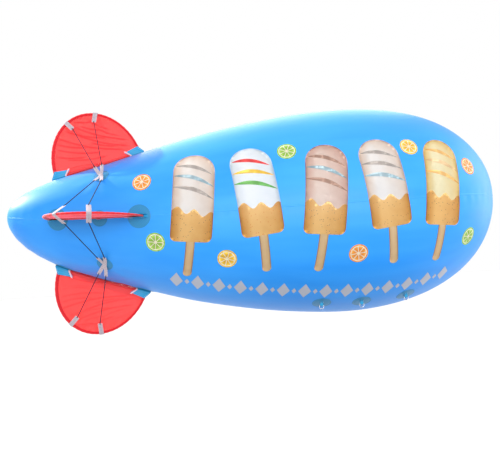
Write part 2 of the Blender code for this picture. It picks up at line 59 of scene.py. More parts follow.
# %% Camera
CAMERA_AT = Vector((-0.9136, -5.5910, -0.4978))
YAW, PITCH, ROLL = 0.1493, 0.0638, -0.0559    # radians
FOCAL_PIXELS, FRAME_PIXELS = 683.5, 500
SENSOR = 36.0

level_right = Vector((cos(YAW), -sin(YAW), 0))
level_ahead = Vector((sin(YAW), cos(YAW), 0))
look = level_ahead * cos(PITCH) + Vector((0, 0, sin(PITCH)))
level_up = Vector((0, 0, cos(PITCH))) - level_ahead * sin(PITCH)
camera_x = level_right * cos(ROLL) + level_up * sin(ROLL)
camera_y = level_up * cos(ROLL) - level_right * sin(ROLL)

lens = bpy.data.cameras.new("camera")
lens.sensor_width = SENSOR
lens.lens = SENSOR * FOCAL_PIXELS / FRAME_PIXELS
camera = bpy.data.objects.new("camera", lens)
bpy.context.scene.collection.objects.link(camera)
for row in range(3):
    for column, axis in enumerate((camera_x, camera_y, -look)):
        camera.matrix_world[row][column] = axis[row]
    camera.matrix_world[row][3] = CAMERA_AT[row]
bpy.context.scene.camera = camera
print("lens", round(lens.lens, 1), "mm")

# %% [markdown]
# Every finish below is a small tree of shader nodes. Two helpers keep them short: one turns a colour written
# as on a web page into the linear values that Blender works in, and one adds a node with its settings and
# its links. `new_finish` gives a finish its name, its colour and the numbers of its main shader.

# %% Colours and shader nodes


def colour(code):
    """A linear RGBA colour from sRGB hex."""
    parts = [int(code[at:at + 2], 16) / 255 for at in (0, 2, 4)]
    return [p / 12.92 if p <= 0.04045 else ((p + 0.055) / 1.055) ** 2.4 for p in parts] + [1.0]


def add(tree, kind, sockets=(), **settings):
    """Add a node. Each socket takes a value, or another node's output to link from."""
    made = tree.nodes.new(kind)
    for name, value in settings.items():
        setattr(made, name, value)
    for name, value in dict(sockets).items():
        if isinstance(value, bpy.types.NodeSocket):
            tree.links.new(value, made.inputs[name])
        else:
            made.inputs[name].default_value = value
    return made


def new_finish(name, code, **numbers):
    """A new finish: its node tree and its Principled shader, with the colour and numbers set."""
    finish = bpy.data.materials.new(name)
    finish.use_nodes = True
    shader = finish.node_tree.nodes["Principled BSDF"]
    shader.inputs["Base Color"].default_value = colour(code)
    finish.diffuse_color = colour(code)
    for words, value in numbers.items():
        shader.inputs[words.replace("_", " ").title().replace("Ior", "IOR")].default_value = value
    return finish, finish.node_tree, shader


print("a web page's 808080 is", round(colour("808080")[0], 3), "in linear light")

# %% [markdown]
# Calendered PVC film is rolled thin between hot steel, so it is smooth and glossy, with faint streaks along
# the roll and a slow unevenness in its thickness. The film of this balloon is printed sky blue, and a clear
# gloss lies over the ink. The streaks and the unevenness are a stretched noise and a broad noise, which
# tint the blue and roughen the gloss a little.

# %% Finish: printed PVC film
FILM_BLUE = "2C90E8"
FILM_PALE = "3698EC"
FILM_DEEP = "2288E3"


def film(name, pale, middle, deep):
    finish, tree, shader = new_finish(name, middle, roughness=0.44, ior=1.45, specular_ior_level=0.32)
    place = add(tree, "ShaderNodeTexCoord").outputs["Object"]
    along = add(tree, "ShaderNodeMapping", {"Vector": place, "Scale": (0.5, 5.0, 5.0)}).outputs[0]
    streaks = add(tree, "ShaderNodeTexNoise", {"Vector": along, "Scale": 1.6, "Detail": 2.0}).outputs[0]
    broad = add(tree, "ShaderNodeTexNoise", {"Vector": place, "Scale": 0.9, "Detail": 2.0}).outputs[0]
    both = add(tree, "ShaderNodeMath", {0: streaks, 1: broad}, operation="ADD").outputs[0]
    half = add(tree, "ShaderNodeMath", {0: both, 1: 0.5}, operation="MULTIPLY").outputs[0]
    ramp = add(tree, "ShaderNodeValToRGB", {"Fac": half})
    ramp.color_ramp.elements[0].position, ramp.color_ramp.elements[0].color = 0.30, colour(deep)
    ramp.color_ramp.elements[1].position, ramp.color_ramp.elements[1].color = 0.70, colour(pale)
    tree.links.new(ramp.outputs["Color"], shader.inputs["Base Color"])
    gloss = add(tree, "ShaderNodeMapRange", {"Value": streaks, "To Min": 0.38, "To Max": 0.50})
    tree.links.new(gloss.outputs[0], shader.inputs["Roughness"])
    return finish


FILM = film("printed_pvc_film", FILM_PALE, FILM_BLUE, FILM_DEEP)
print("film:", FILM.name)

# %% [markdown]
# The envelope is welded from four wide gores. Its outline is a formula: a half circle turned into a blunt
# nose and a slim tail, with the middle of its axis hanging a little low. `bare_skin` gives a point of that
# smooth form and the way it faces. A place on it is named by its station, which is its share of the length
# from the tail, and by its azimuth.

# %% The envelope's form
low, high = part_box("envelope")
LENGTH = high.x - low.x
PROFILE_TAIL = 0.0870       # fullness of the whole outline
PROFILE_NOSE = 0.2523       # more fullness towards the nose
WAIST = 0.0096              # fullness taken away where the fins stand
WAIST_AT = 0.1839           # middle and reach of this waist, as shares of the length
WAIST_REACH = 0.13
SAG = 0.0547                # how far the middle hangs below the line through the tips
TAIL_SAG = 0.1505           # and how much lower it hangs at the tail
TAIL_SAG_REACH = 0.1811
ANCHOR_STATION = 0.1890     # stations are shares of the length, from the tail
ANCHORS = {"upper_starboard": 47, "upper_port": 133, "lower_port": 227, "lower_starboard": 313}
FINS = {"starboard": 0, "top": 90, "port": 180, "bottom": 270}
SADDLE_STATIONS = {"rear_pocket": 0.1065, "mid_loop": 0.1850, "front_pocket": 0.2575}
LUG_STATIONS = {"rear": 0.600, "middle": 0.680, "front": 0.772}
LUG_AZIMUTH = {"starboard": 297, "port": 243}
VALVE = (0.320, 155)
SEAMS = (0, 90, 180, 270)


def droop(station):
    """How far the middle lies below the line through the tips, and how fast that grows."""
    tail = TAIL_SAG * exp(-station / TAIL_SAG_REACH)
    bow = 4 * station * (1 - station)
    return bow * (SAG + tail), 4 * (1 - 2 * station) * (SAG + tail) - bow * tail / TAIL_SAG_REACH


def bare_skin(station, azimuth):
    """Point and outward normal of the smooth envelope."""
    turn = acos(max(-1.0, min(1.0, 1 - 2 * station)))
    if sin(turn) < 1e-6:
        end = 1 if station > 0.5 else -1
        return Vector((end * LENGTH / 2, 0, 0)), Vector((end, 0, 0))
    around = radians(azimuth)
    off = (station - WAIST_AT) / WAIST_REACH
    drawn_in = WAIST * exp(-off ** 2)
    full = sqrt(PROFILE_TAIL + PROFILE_NOSE * station ** 2 - drawn_in)
    swell = PROFILE_NOSE * station + drawn_in * off / WAIST_REACH
    radius = LENGTH / 2 * sin(turn) * full
    growth = LENGTH / 2 * (cos(turn) * full + sin(turn) ** 2 * swell / (2 * full))
    low, slope = droop(station)
    along = Vector((LENGTH / 2 * sin(turn), -growth * cos(around),
                    growth * sin(around) - slope * sin(turn) / 2))
    across = Vector((0, sin(around), cos(around)))
    point = Vector(((station - 0.5) * LENGTH, -radius * cos(around),
                    radius * sin(around) - low))
    return point, along.cross(across).normalized()


print("length", round(LENGTH, 3), "m")

# %% [markdown]
# Real film is never so smooth: it is drawn in along the welds, gathers in small puckers beside them, creases
# round each loaded anchor and waves slowly everywhere. `relief` adds that up in millimetres. Sculpting could
# do it, but a function also tells every patch where the film is.

# %% The film's unevenness


def step_between(value, low, high):
    """0 below low, 1 above high, and smooth between them."""
    share = max(0.0, min(1.0, (value - low) / (high - low)))
    return share * share * (3 - 2 * share)


quiet = [bare_skin(ANCHOR_STATION, azimuth)[0] for azimuth in ANCHORS.values()]
quiet += [bare_skin(at, azimuth)[0] for at in SADDLE_STATIONS.values() for azimuth in FINS.values()]
quiet += [bare_skin(at, azimuth)[0] for at in LUG_STATIONS.values() for azimuth in LUG_AZIMUTH.values()]
quiet += [bare_skin(*VALVE)[0], bare_skin(1.0, 0)[0]]
QUIET_REACH = (0.075, 0.150)     # the film lies still inside the first radius round a welded patch
SEAM_DEEP, SEAM_REACH = 0.0030, 0.040
PUCKER_HIGH, PUCKER_PITCH, PUCKER_REACH = 0.0011, 0.085, 0.06
ENDS_GAIN, TAIL_REACH, NOSE_REACH = 1.6, 0.12, 0.08      # the puckers grow towards both ends
CREASE_HIGH, CREASES = 0.0016, 9
CREASE_RING, CREASE_BAND, CREASE_END = 0.13, 0.10, 0.42  # the creases lie in a ring round an anchor
WAVE_HIGH = 0.0014
TIPS_STILL = 0.12


def relief(point, station, azimuth):
    """Height of the film's unevenness above the smooth form at a point of it."""
    height = WAVE_HIGH * (sin(5.1 * point.x + 0.7) * cos(3 * radians(azimuth) + 1.1)
                          + 0.6 * sin(9.3 * point.x - 2.0) * sin(5 * radians(azimuth)))
    radius = hypot(point.y, point.z)
    off = (azimuth + 45) % 90 - 45
    arc = abs(radians(off)) * radius
    ends = 1 + ENDS_GAIN * exp(-station / TAIL_REACH) + ENDS_GAIN * exp(-(1 - station) / NOSE_REACH)
    height -= SEAM_DEEP * exp(-(arc / SEAM_REACH) ** 2)
    swell = 0.6 + 0.4 * sin(7 * point.x + round(azimuth / 90))
    height += PUCKER_HIGH * ends * swell * sin(tau * point.x / PUCKER_PITCH) * exp(-(arc / PUCKER_REACH) ** 2)
    still = 1.0
    for centre in quiet:
        apart = (point - centre).length
        still = min(still, step_between(apart, *QUIET_REACH))
        if still == 0.0:
            return 0.0
    around = Vector((0, sin(radians(azimuth)), cos(radians(azimuth))))
    for centre in quiet[:len(ANCHORS)]:
        apart = (point - centre).length
        if apart < CREASE_END:
            swing = atan2((point - centre).dot(around), point.x - centre.x)
            height += CREASE_HIGH * cos(CREASES * swing) * exp(-((apart - CREASE_RING) / CREASE_BAND) ** 2)
    return height * still * step_between(sin(pi * station), 0.0, TIPS_STILL)


def skin(station, azimuth, lift=0.0):
    """A point of the real film, or lifted off it."""
    point, normal = bare_skin(station, azimuth)
    return point + normal * (lift + relief(point, station, azimuth))


print("still places:", len(quiet))

# %% [markdown]
# The film's mesh is a grid of rings and lines, finer beside the welds where the puckers are. It gets an inner
# wall as well, and a round hole for the filler valve, which a Boolean cuts through both. A UV sphere pushed
# into shape would waste its points at the poles and have none to spare at the welds.

# %% Build the envelope
RINGS, QUARTER = 300, 56
GATHERED = 0.105         # how strongly the lines crowd towards the welds
WALL = 0.010
INNER_RINGS, INNER_SIDES = 40, 48
HOLE_RADIUS = 0.0243


def turned_grid(rings, azimuths, place, flip):
    """Points and faces of a closed form turned round the axis, pole to pole."""
    sides = len(azimuths)
    verts = [place((1 - cos(pi * row / rings)) / 2, azimuth)
             for row in range(1, rings) for azimuth in azimuths]
    verts += [place(0.0, 0), place(1.0, 0)]
    tail = (rings - 1) * sides
    faces = []
    for side in range(sides):
        after = (side + 1) % sides
        faces.append((tail, side, after))
        faces += [(row + side, row + sides + side, row + sides + after, row + after)
                  for row in range(0, tail - sides, sides)]
        faces.append((tail - sides + after, tail - sides + side, tail + 1))
    return verts, [face[::-1] if flip else face for face in faces]


def plain_copy(source, name):
    """The evaluated object as a plain mesh object, in the source's place."""
    bpy.context.view_layer.update()
    shown = source.evaluated_get(bpy.context.evaluated_depsgraph_get())
    made = bpy.data.objects.new(name, bpy.data.meshes.new_from_object(shown))
    bpy.context.scene.collection.objects.link(made)
    bpy.data.objects.remove(source, do_unlink=True)
    return made


fine = [90 * (quarter + step / QUARTER - GATHERED * sin(tau * step / QUARTER))
        for quarter in range(4) for step in range(QUARTER)]
coarse = [360 * side / INNER_SIDES for side in range(INNER_SIDES)]
outer = turned_grid(RINGS, fine, skin, False)
inner = turned_grid(INNER_RINGS, coarse, lambda at, azimuth: bare_skin(at, azimuth)[0]
                    - bare_skin(at, azimuth)[1] * WALL, True)
count = len(outer[0])
mesh = bpy.data.meshes.new("film")
mesh.from_pydata([tuple(v) for v in outer[0] + inner[0]], [],
                 outer[1] + [tuple(count + corner for corner in face) for face in inner[1]])
mesh.materials.append(FILM)
mesh.shade_smooth()
rough_film = bpy.data.objects.new("film", mesh)
bpy.context.scene.collection.objects.link(rough_film)
valve_centre, valve_out = bare_skin(*VALVE)
bpy.ops.mesh.primitive_cylinder_add(vertices=48, radius=HOLE_RADIUS, depth=0.1, location=valve_centre,
                                    rotation=valve_out.to_track_quat("Z", "Y").to_euler())
punch = bpy.context.object
cut = rough_film.modifiers.new("valve hole", "BOOLEAN")
cut.object, cut.operation, cut.solver = punch, "DIFFERENCE", "EXACT"
envelope = plain_copy(rough_film, "envelope_film")
bpy.data.objects.remove(punch, do_unlink=True)
print("film:", len(envelope.data.polygons), "faces")


# %% [markdown]
# Straps, sleeves, rods and rings are all the same thing to a mesh: a cross-section carried along a path.
# `loft` joins ready rings of points, and writes a UV map in metres, along and across, for the weaves to
# follow. `object_from` makes the mesh, and turns its faces outwards.

# %% Meshes from rings


def object_from(name, verts, faces, finish, uvs=None, sharp=40, values=None):
    """A mesh object with its faces pointing out. uvs has one {corner: (u, v)} for each face."""
    mesh = bpy.data.meshes.new(name)
    mesh.from_pydata([tuple(v) for v in verts], [], faces)
    shape = bmesh.new()
    shape.from_mesh(mesh)
    bmesh.ops.recalc_face_normals(shape, faces=shape.faces)
    if uvs:
        layer = shape.loops.layers.uv.new("UVMap")
        for face, corners in zip(shape.faces, uvs):
            for loop in face.loops:
                loop[layer].uv = corners[loop.vert.index]
    shape.to_mesh(mesh)
    shape.free()
    for label, numbers in (values or {}).items():
        mesh.attributes.new(label, "FLOAT", "POINT").data.foreach_set("value", numbers)
    mesh.materials.append(finish)
    mesh.shade_smooth()
    mesh.set_sharp_from_angle(angle=radians(sharp))
    made = bpy.data.objects.new(name, mesh)
    bpy.context.scene.collection.objects.link(made)
    return made


def loft(name, rings, finish, closed=False, sharp=40):
    """A bar through rings of points, capped at its ends unless it closes on itself."""
    size, count = len(rings[0]), len(rings)
    verts = [point for ring in rings for point in ring]
    along = [0.0]
    for row in range(1, count + 1):
        along.append(along[-1] + (rings[row % count][0] - rings[row - 1][0]).length)
    across = [0.0]
    for side in range(1, size + 1):
        across.append(across[-1] + (rings[0][side % size] - rings[0][side - 1]).length)
    faces, uvs = [], []
    for row in range(count if closed else count - 1):
        after = (row + 1) % count
        for side in range(size):
            other = (side + 1) % size
            corners = (row * size + side, row * size + other, after * size + other, after * size + side)
            faces.append(corners)
            spots = ((row, side), (row, side + 1), (row + 1, side + 1), (row + 1, side))
            uvs.append({c: (along[r], across[s]) for c, (r, s) in zip(corners, spots)})
    if not closed:
        for row in (0, count - 1):
            cap = tuple(range(row * size, (row + 1) * size))
            faces.append(cap)
            uvs.append({c: (along[row], across[s]) for s, c in enumerate(cap)})
    return object_from(name, verts, faces, finish, uvs, sharp)


print("rings can be lofted")

# %% [markdown]
# `strap` makes the rings of webbing, with rounded edges, and `bar` those of a round bar. A curve with a
# bevel would do for the bar, but a folded strap has to keep its flat side towards what it holds. `dress`
# gives a finished piece to the body that it rides on.

# %% Straps and bars
STRAP_EDGE = 0.0012              # how far in from its edge a strap has its full thickness
STRAP_SECTION = (                # side, share of half the thickness, set in from the edge
    (1, 0.4, 0), (1, 1, STRAP_EDGE), (-1, 1, STRAP_EDGE), (-1, 0.4, 0),
    (-1, -0.4, 0), (-1, -1, STRAP_EDGE), (1, -1, STRAP_EDGE), (1, -0.4, 0))


def strap(name, path, normals, halves, thick, finish):
    """Webbing along a path. halves are vectors from its middle line to its edge."""
    rings = []
    for point, normal, half in zip(path, normals, halves):
        wide, soft = half.length, half.normalized()
        rings.append([point + soft * (wide - inset) * side + normal * thick / 2 * level
                      for side, level, inset in STRAP_SECTION])
    return loft(name, rings, finish)


def bar(name, path, radius, sides, finish, closed=False, plane=None):
    """A round bar along a path, its rings square to the way the path runs."""
    rings = []
    count = len(path)
    for index, point in enumerate(path):
        before = path[index - 1] if closed or index else point
        after = path[(index + 1) % count] if closed or index < count - 1 else point
        ahead = (after - before).normalized()
        side = (plane or ahead.orthogonal()).cross(ahead).normalized()
        top = ahead.cross(side)
        rings.append([point + (side * cos(tau * s / sides) + top * sin(tau * s / sides)) * radius
                      for s in range(sides)])
    return loft(name, rings, finish, closed)


def dress(piece, body, slot, *nodes):
    """Let a finished piece ride on its body and stand for its solids. Its slot is not used."""
    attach(piece, body)
    if nodes:
        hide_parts(*nodes)
    print(piece.name, len(piece.data.polygons), "faces")


dress(envelope, "hull", "envelope", "envelope")

# %% [markdown]
# Stitches, weld marks and grip ribs repeat hundreds of times. Geometry Nodes set them along a path: the
# path comes as a line of edges whose points also know which way is out, the tree cuts it into even steps,
# sets a small grain on each, and lets it follow the path. Copying objects in a loop would give the same
# picture, but the tree's named inputs can still be changed by hand in the modifier.

# %% Rows of small grains


def new_tree(name, inputs):
    """A Geometry Nodes tree with named inputs, and its input and output nodes."""
    tree = bpy.data.node_groups.new(name, "GeometryNodeTree")
    tree.interface.new_socket("Geometry", in_out="INPUT", socket_type="NodeSocketGeometry")
    for label, kind, value in inputs:
        socket = tree.interface.new_socket(label, in_out="INPUT", socket_type=kind)
        if value is not None:
            socket.default_value = value
    tree.interface.new_socket("Geometry", in_out="OUTPUT", socket_type="NodeSocketGeometry")
    return tree, add(tree, "NodeGroupInput").outputs, add(tree, "NodeGroupOutput")


def run_tree(source, tree, name, **inputs):
    """Put the tree on an object, set its inputs, and keep the result as a plain mesh."""
    step = source.modifiers.new(tree.name, "NODES")
    step.node_group = tree
    for item in tree.interface.items_tree:
        if item.in_out == "INPUT" and item.name.replace(" ", "_").lower() in inputs:
            step[item.identifier] = inputs[item.name.replace(" ", "_").lower()]
    return plain_copy(source, name)


def path_object(runs):
    """Edges through each run's points. A run is a list of (point, way out)."""
    mesh = bpy.data.meshes.new("path")
    verts, edges, outs = [], [], []
    for run in runs:
        edges += [(len(verts) + at, len(verts) + at + 1) for at in range(len(run) - 1)]
        verts += [tuple(point) for point, out in run]
        outs += [value for point, out in run for value in out]
    mesh.from_pydata(verts, edges, [])
    mesh.attributes.new("out", "FLOAT_VECTOR", "POINT").data.foreach_set("vector", outs)
    made = bpy.data.objects.new("path", mesh)
    bpy.context.scene.collection.objects.link(made)
    return made


GRAINS, given, result = new_tree("grains_along_path", [
    ("Pitch", "NodeSocketFloat", 0.004), ("Size", "NodeSocketVector", (0.003, 0.0008, 0.0006)),
    ("Material", "NodeSocketMaterial", None)])
line = add(GRAINS, "GeometryNodeMeshToCurve", {"Mesh": given["Geometry"]}).outputs[0]
steps = add(GRAINS, "GeometryNodeResampleCurve", {"Curve": line, "Length": given["Pitch"]}, mode="LENGTH")
way = add(GRAINS, "GeometryNodeInputTangent").outputs[0]
out = add(GRAINS, "GeometryNodeInputNamedAttribute", {"Name": "out"}, data_type="FLOAT_VECTOR").outputs[0]
facing = add(GRAINS, "FunctionNodeAlignRotationToVector", {"Vector": way}, axis="X").outputs[0]
turned = add(GRAINS, "FunctionNodeAlignRotationToVector", {"Rotation": facing, "Vector": out},
             axis="Z", pivot_axis="X").outputs[0]
grain = add(GRAINS, "GeometryNodeMeshUVSphere", {"Segments": 6, "Rings": 4, "Radius": 0.5}).outputs["Mesh"]
rows = add(GRAINS, "GeometryNodeInstanceOnPoints", {"Points": steps.outputs[0], "Instance": grain,
                                                    "Rotation": turned, "Scale": given["Size"]}).outputs[0]
real = add(GRAINS, "GeometryNodeRealizeInstances", {"Geometry": rows}).outputs[0]
soft = add(GRAINS, "GeometryNodeSetShadeSmooth", {"Geometry": real}).outputs[0]
done = add(GRAINS, "GeometryNodeSetMaterial", {"Geometry": soft, "Material": given["Material"]}).outputs[0]
GRAINS.links.new(done, result.inputs[0])
print("tree:", GRAINS.name, "with", len(GRAINS.nodes), "nodes")

# %% [markdown]
# The fins are ripstop nylon: a thin cloth with a grid of thicker threads. Light comes through it. The mesh
# carries a number on each point, which the finish reads to mix in a deeper red: painted shade on the crests
# of the creases, and a little deeper red below the hem line. The thread grid is drawn 12 mm wide, twice its
# real width, so that it still shows.

# %% Finish: ripstop nylon


def nylon(name, code, deep, glow, see_through):
    finish, tree, shader = new_finish(
        name, code, roughness=0.55, sheen_weight=0.25, ior=1.5, specular_ior_level=0.25, alpha=see_through,
        subsurface_weight=glow, subsurface_scale=0.004, subsurface_radius=(1.0, 0.40, 0.35))
    uv = add(tree, "ShaderNodeTexCoord").outputs["UV"]
    threads = add(tree, "ShaderNodeTexBrick", {
        "Vector": uv, "Scale": 1.0, "Brick Width": 0.012, "Row Height": 0.012, "Mortar Size": 0.0007,
        "Mortar Smooth": 0.4}, offset=0.0).outputs["Fac"]
    # painted shade: this number deepens the red on the crests of the creases, and a little below the hem line
    fold_shade = add(tree, "ShaderNodeAttribute", attribute_name="fold_shade").outputs["Fac"]
    cloud = add(tree, "ShaderNodeTexNoise", {"Vector": uv, "Scale": 9.0, "Detail": 3.0}).outputs[0]
    cloudy = add(tree, "ShaderNodeMath", {0: cloud, 1: 0.25, 2: -0.06}, operation="MULTIPLY_ADD").outputs[0]
    share = add(tree, "ShaderNodeMath", {0: fold_shade, 1: cloudy}, operation="ADD", use_clamp=True).outputs[0]
    mixed = add(tree, "ShaderNodeMix", {0: share, 6: colour(code), 7: colour(deep)}, data_type="RGBA")
    tree.links.new(mixed.outputs[2], shader.inputs["Base Color"])
    bump = add(tree, "ShaderNodeBump", {"Height": threads, "Strength": 0.25, "Distance": 0.0006})
    tree.links.new(bump.outputs["Normal"], shader.inputs["Normal"])
    return finish


CLOTH = nylon("red_ripstop_nylon", "DE383D", "A20A17", glow=0.9, see_through=0.985)
SLEEVE = nylon("doubled_ripstop_nylon", "D3101D", "A80613", glow=0.1, see_through=1.0)
print("cloths:", CLOTH.name, "and", SLEEVE.name)

# %% [markdown]
# Polyester webbing is woven in a rib, so it has fine ridges across and a soft sheen. Coated cloth is a
# woven scrim under a skin of PVC, whose threads still show through. Braided cord shows its strands as a
# slant. One function does all three: a wave texture on the UV map, at the real pitch of the threads.

# %% Finishes: webbing, coated cloth, cord and thread


def woven(name, code, shade, pitch, slant, depth, **numbers):
    """Threads as waves over the UV map: pitch in metres, slant 0 across the strap, 1 at 45 degrees."""
    finish, tree, shader = new_finish(name, code, **numbers)
    uv = add(tree, "ShaderNodeTexCoord").outputs["UV"]
    turned = add(tree, "ShaderNodeMapping", {"Vector": uv, "Rotation": (0, 0, slant * pi / 4)}).outputs[0]
    ribs = add(tree, "ShaderNodeTexWave", {"Vector": turned, "Scale": 1 / (pitch * 20), "Distortion": 0.4,
                                           "Detail": 1.0}).outputs["Fac"]
    soil = add(tree, "ShaderNodeTexNoise", {"Vector": uv, "Scale": 30.0, "Detail": 3.0}).outputs[0]
    share = add(tree, "ShaderNodeMath", {0: ribs, 1: soil}, operation="MULTIPLY").outputs[0]
    mixed = add(tree, "ShaderNodeMix", {0: share, 6: colour(code), 7: colour(shade)}, data_type="RGBA")
    tree.links.new(mixed.outputs[2], shader.inputs["Base Color"])
    bump = add(tree, "ShaderNodeBump", {"Height": ribs, "Strength": 0.5, "Distance": depth})
    tree.links.new(bump.outputs["Normal"], shader.inputs["Normal"])
    return finish


WEBBING = woven("white_polyester_webbing", "B0A4AE", "82757F", 0.0024, 0, 0.0004, roughness=0.7,
                sheen_weight=0.1)
# a white tape, tinted pink as painted red light from the fin's cloth
WHITE_TAPE_RED_LIGHT = woven("pinkish_tape", "E9BFC6", "CF98A2", 0.0024, 0, 0.0003, roughness=0.7, sheen_weight=0.3)
TEAL = woven("teal_coated_cloth", "2496C6", "1A7FB2", 0.0030, 0, 0.0002, roughness=0.42,
             specular_ior_level=0.3)
PATCH = woven("grey_blue_patch_film", "2A7FAE", "2476A4", 0.0022, 1, 0.0001, roughness=0.40,
              specular_ior_level=0.3)
CORD = woven("navy_braided_cord", "0B1A38", "050B1A", 0.0030, 1, 0.0003, roughness=0.8)
THREAD = woven("white_thread", "E6E2E6", "C2BCC4", 0.0010, 1, 0.0001, roughness=0.6)
RED_THREAD = woven("red_thread", "9E0B18", "7C0610", 0.0010, 1, 0.0001, roughness=0.6)
print("woven finishes:", WEBBING.name, WHITE_TAPE_RED_LIGHT.name, TEAL.name, PATCH.name, CORD.name)

# %% [markdown]
# The tether rings are bent from stainless wire and tumbled bright, with only a haze of fine scratches. The
# filler valve is moulded from white polyethylene, a slightly waxy plastic with a fine orange-peel skin.

# %% Finishes: stainless steel and moulded plastic


def hard(name, code, grain, low_rough, high_rough, depth, **numbers):
    finish, tree, shader = new_finish(name, code, **numbers)
    place = add(tree, "ShaderNodeTexCoord").outputs["Object"]
    cloud = add(tree, "ShaderNodeTexNoise", {"Vector": place, "Scale": 1 / grain, "Detail": 4.0}).outputs[0]
    rough = add(tree, "ShaderNodeMapRange", {"Value": cloud, "To Min": low_rough, "To Max": high_rough})
    tree.links.new(rough.outputs[0], shader.inputs["Roughness"])
    bump = add(tree, "ShaderNodeBump", {"Height": cloud, "Strength": 0.2, "Distance": depth})
    tree.links.new(bump.outputs["Normal"], shader.inputs["Normal"])
    return finish


STEEL = hard("tumbled_stainless_steel", "C9CBCE", 0.004, 0.14, 0.30, 0.0001, metallic=1.0)
PLASTIC = hard("moulded_white_polyethylene", "E6E8E9", 0.002, 0.32, 0.46, 0.0001, subsurface_weight=0.1,
               subsurface_scale=0.003)
print("finishes:", len(bpy.data.materials))

# %% [markdown]
# Each weld between two gores is a flat band where the films overlap, pressed by a hot bar that leaves a row
# of small marks. The band is a thin strip laid over the film from tail to nose, and the marks come from the
# grain tree.

# %% Weld bands along the gores
BAND_HALF, BAND_LIFT, BAND_THICK = 0.007, 0.0002, 0.0005
BAND_SECTION = ((-1, 0), (-0.9, BAND_THICK), (0.9, BAND_THICK), (1, 0), (0, -BAND_THICK))
BAND_ENDS = (0.004, 0.9965)
BAND_STEPS = 320
MARK_PITCH, MARK_SIZE = 0.016, (0.0022, 0.011, 0.0002)
FILM_WELD = film("welded_pvc_film", "3A9AED", "3092EA", "268AE5")


def round_by(station, azimuth, arc):
    """The azimuth a distance round the balloon from another."""
    radius = max(0.02, -bare_skin(station, 0)[0].y)
    return azimuth + arc / radius * 180 / pi


first_turn, last_turn = (acos(1 - 2 * end) for end in BAND_ENDS)
for seam in SEAMS:
    rings, marks = [], []
    for step in range(BAND_STEPS + 1):
        turn = first_turn + (last_turn - first_turn) * step / BAND_STEPS
        station = (1 - cos(turn)) / 2
        rings.append([skin(station, round_by(station, seam, BAND_HALF * side), BAND_LIFT + rise)
                      for side, rise in BAND_SECTION])
        marks.append((skin(station, seam, BAND_LIFT + BAND_THICK), bare_skin(station, seam)[1]))
    dress(loft(f"weld_band_{seam}", rings, FILM_WELD), "hull", "envelope")
    dress(run_tree(path_object([marks]), GRAINS, f"weld_marks_{seam}", pitch=MARK_PITCH, size=MARK_SIZE,
                   material=FILM_WELD), "hull", "envelope")

# %% [markdown]
# Round patches spread the load of everything that is fastened to the film. Each is a disc of thicker film,
# welded down all round, with a shallow groove where the welding ring pressed it. A flat disc would cut into
# the round balloon, so the discs are laid out in distances along and round the skin, like a tailor's chalk.

# %% Patches that follow the film
PATCH_LIFT, PATCH_THICK = 0.0006, 0.0016
PATCH_SIDES = 48
PATCH_SHAPE = (    # share of the radius, share of the thickness
    (0.30, 1.0), (0.60, 1.0), (0.80, 1.0), (0.84, 0.55), (0.88, 0.55), (0.92, 1.0), (0.985, 0.9), (1.0, 0.2))


def beside(station, azimuth, ahead, round_):
    """Station and azimuth at distances ahead and round the skin from a place."""
    def pace(at):
        return (bare_skin(at + 0.001, 0)[0] - bare_skin(at - 0.001, 0)[0]).length / 0.002
    middle = station + ahead / 2 / pace(station)
    there = min(0.999, station + ahead / pace(middle))
    return there, round_by(there, azimuth, round_)


def welded_disc(name, radius, place, finish):
    """A disc of film, its top first and its underside after. place says where on the skin a spot lies."""
    rows = [(0.0, PATCH_LIFT + PATCH_THICK)]
    rows += [(share, PATCH_LIFT + PATCH_THICK * rise) for share, rise in PATCH_SHAPE]
    rows += [(share, PATCH_LIFT) for share in (1.0, 0.6, 0.3, 0.0)]
    verts, spots = [], []
    for share, height in rows:
        for side in range(PATCH_SIDES if share else 1):
            u, v = (radius * share * f(tau * side / PATCH_SIDES) for f in (cos, sin))
            verts.append(skin(*place(u, v), height))
            spots.append((u, v))
    last = len(verts) - 1
    faces = []
    for side in range(PATCH_SIDES):
        after = (side + 1) % PATCH_SIDES
        faces.append((0, 1 + side, 1 + after))
        faces += [(1 + row * PATCH_SIDES + side, 1 + (row + 1) * PATCH_SIDES + side,
                   1 + (row + 1) * PATCH_SIDES + after, 1 + row * PATCH_SIDES + after)
                  for row in range(len(rows) - 3)]
        faces.append((last, last - PATCH_SIDES + after, last - PATCH_SIDES + side))
    return object_from(name, verts, faces, finish, [{c: spots[c] for c in face} for face in faces])


def round_patch(name, station, azimuth, radius):
    """A welded disc round a place of the skin."""
    return welded_disc(name, radius, lambda u, v: beside(station, azimuth, u, v), PATCH)


def joined(name, parts):
    """One object of several, with the first one's finish in the first slot."""
    bpy.ops.object.select_all(action="DESELECT")
    for part in parts:
        part.select_set(True)
    bpy.context.view_layer.objects.active = parts[0]
    bpy.ops.object.join()
    parts[0].name = parts[0].data.name = name
    return parts[0]


print("a patch has", len(PATCH_SHAPE), "rings on its top")

# %% [markdown]
# A fin is a rod bent to an arch over a base rod. Everything on it is placed from one small class: where the
# chord begins and ends, which way is ahead, out and sideways, and where the arch and the base rod run.

# %% Places on a fin
FIN_REAR, FIN_FRONT = 0.0973, 0.2649     # stations of the chord's ends
FIN_HEIGHT = 0.431
FIN_LEAN = 0.011                         # the arch's top leans this far to the rear
ROD_RADIUS = 0.010
BASE_LIFT = 0.0147                       # middle of the base rod above the skin
CALM = {"bottom": 0.35, "starboard": 0.7}    # creases are lower on fins with less of a pull


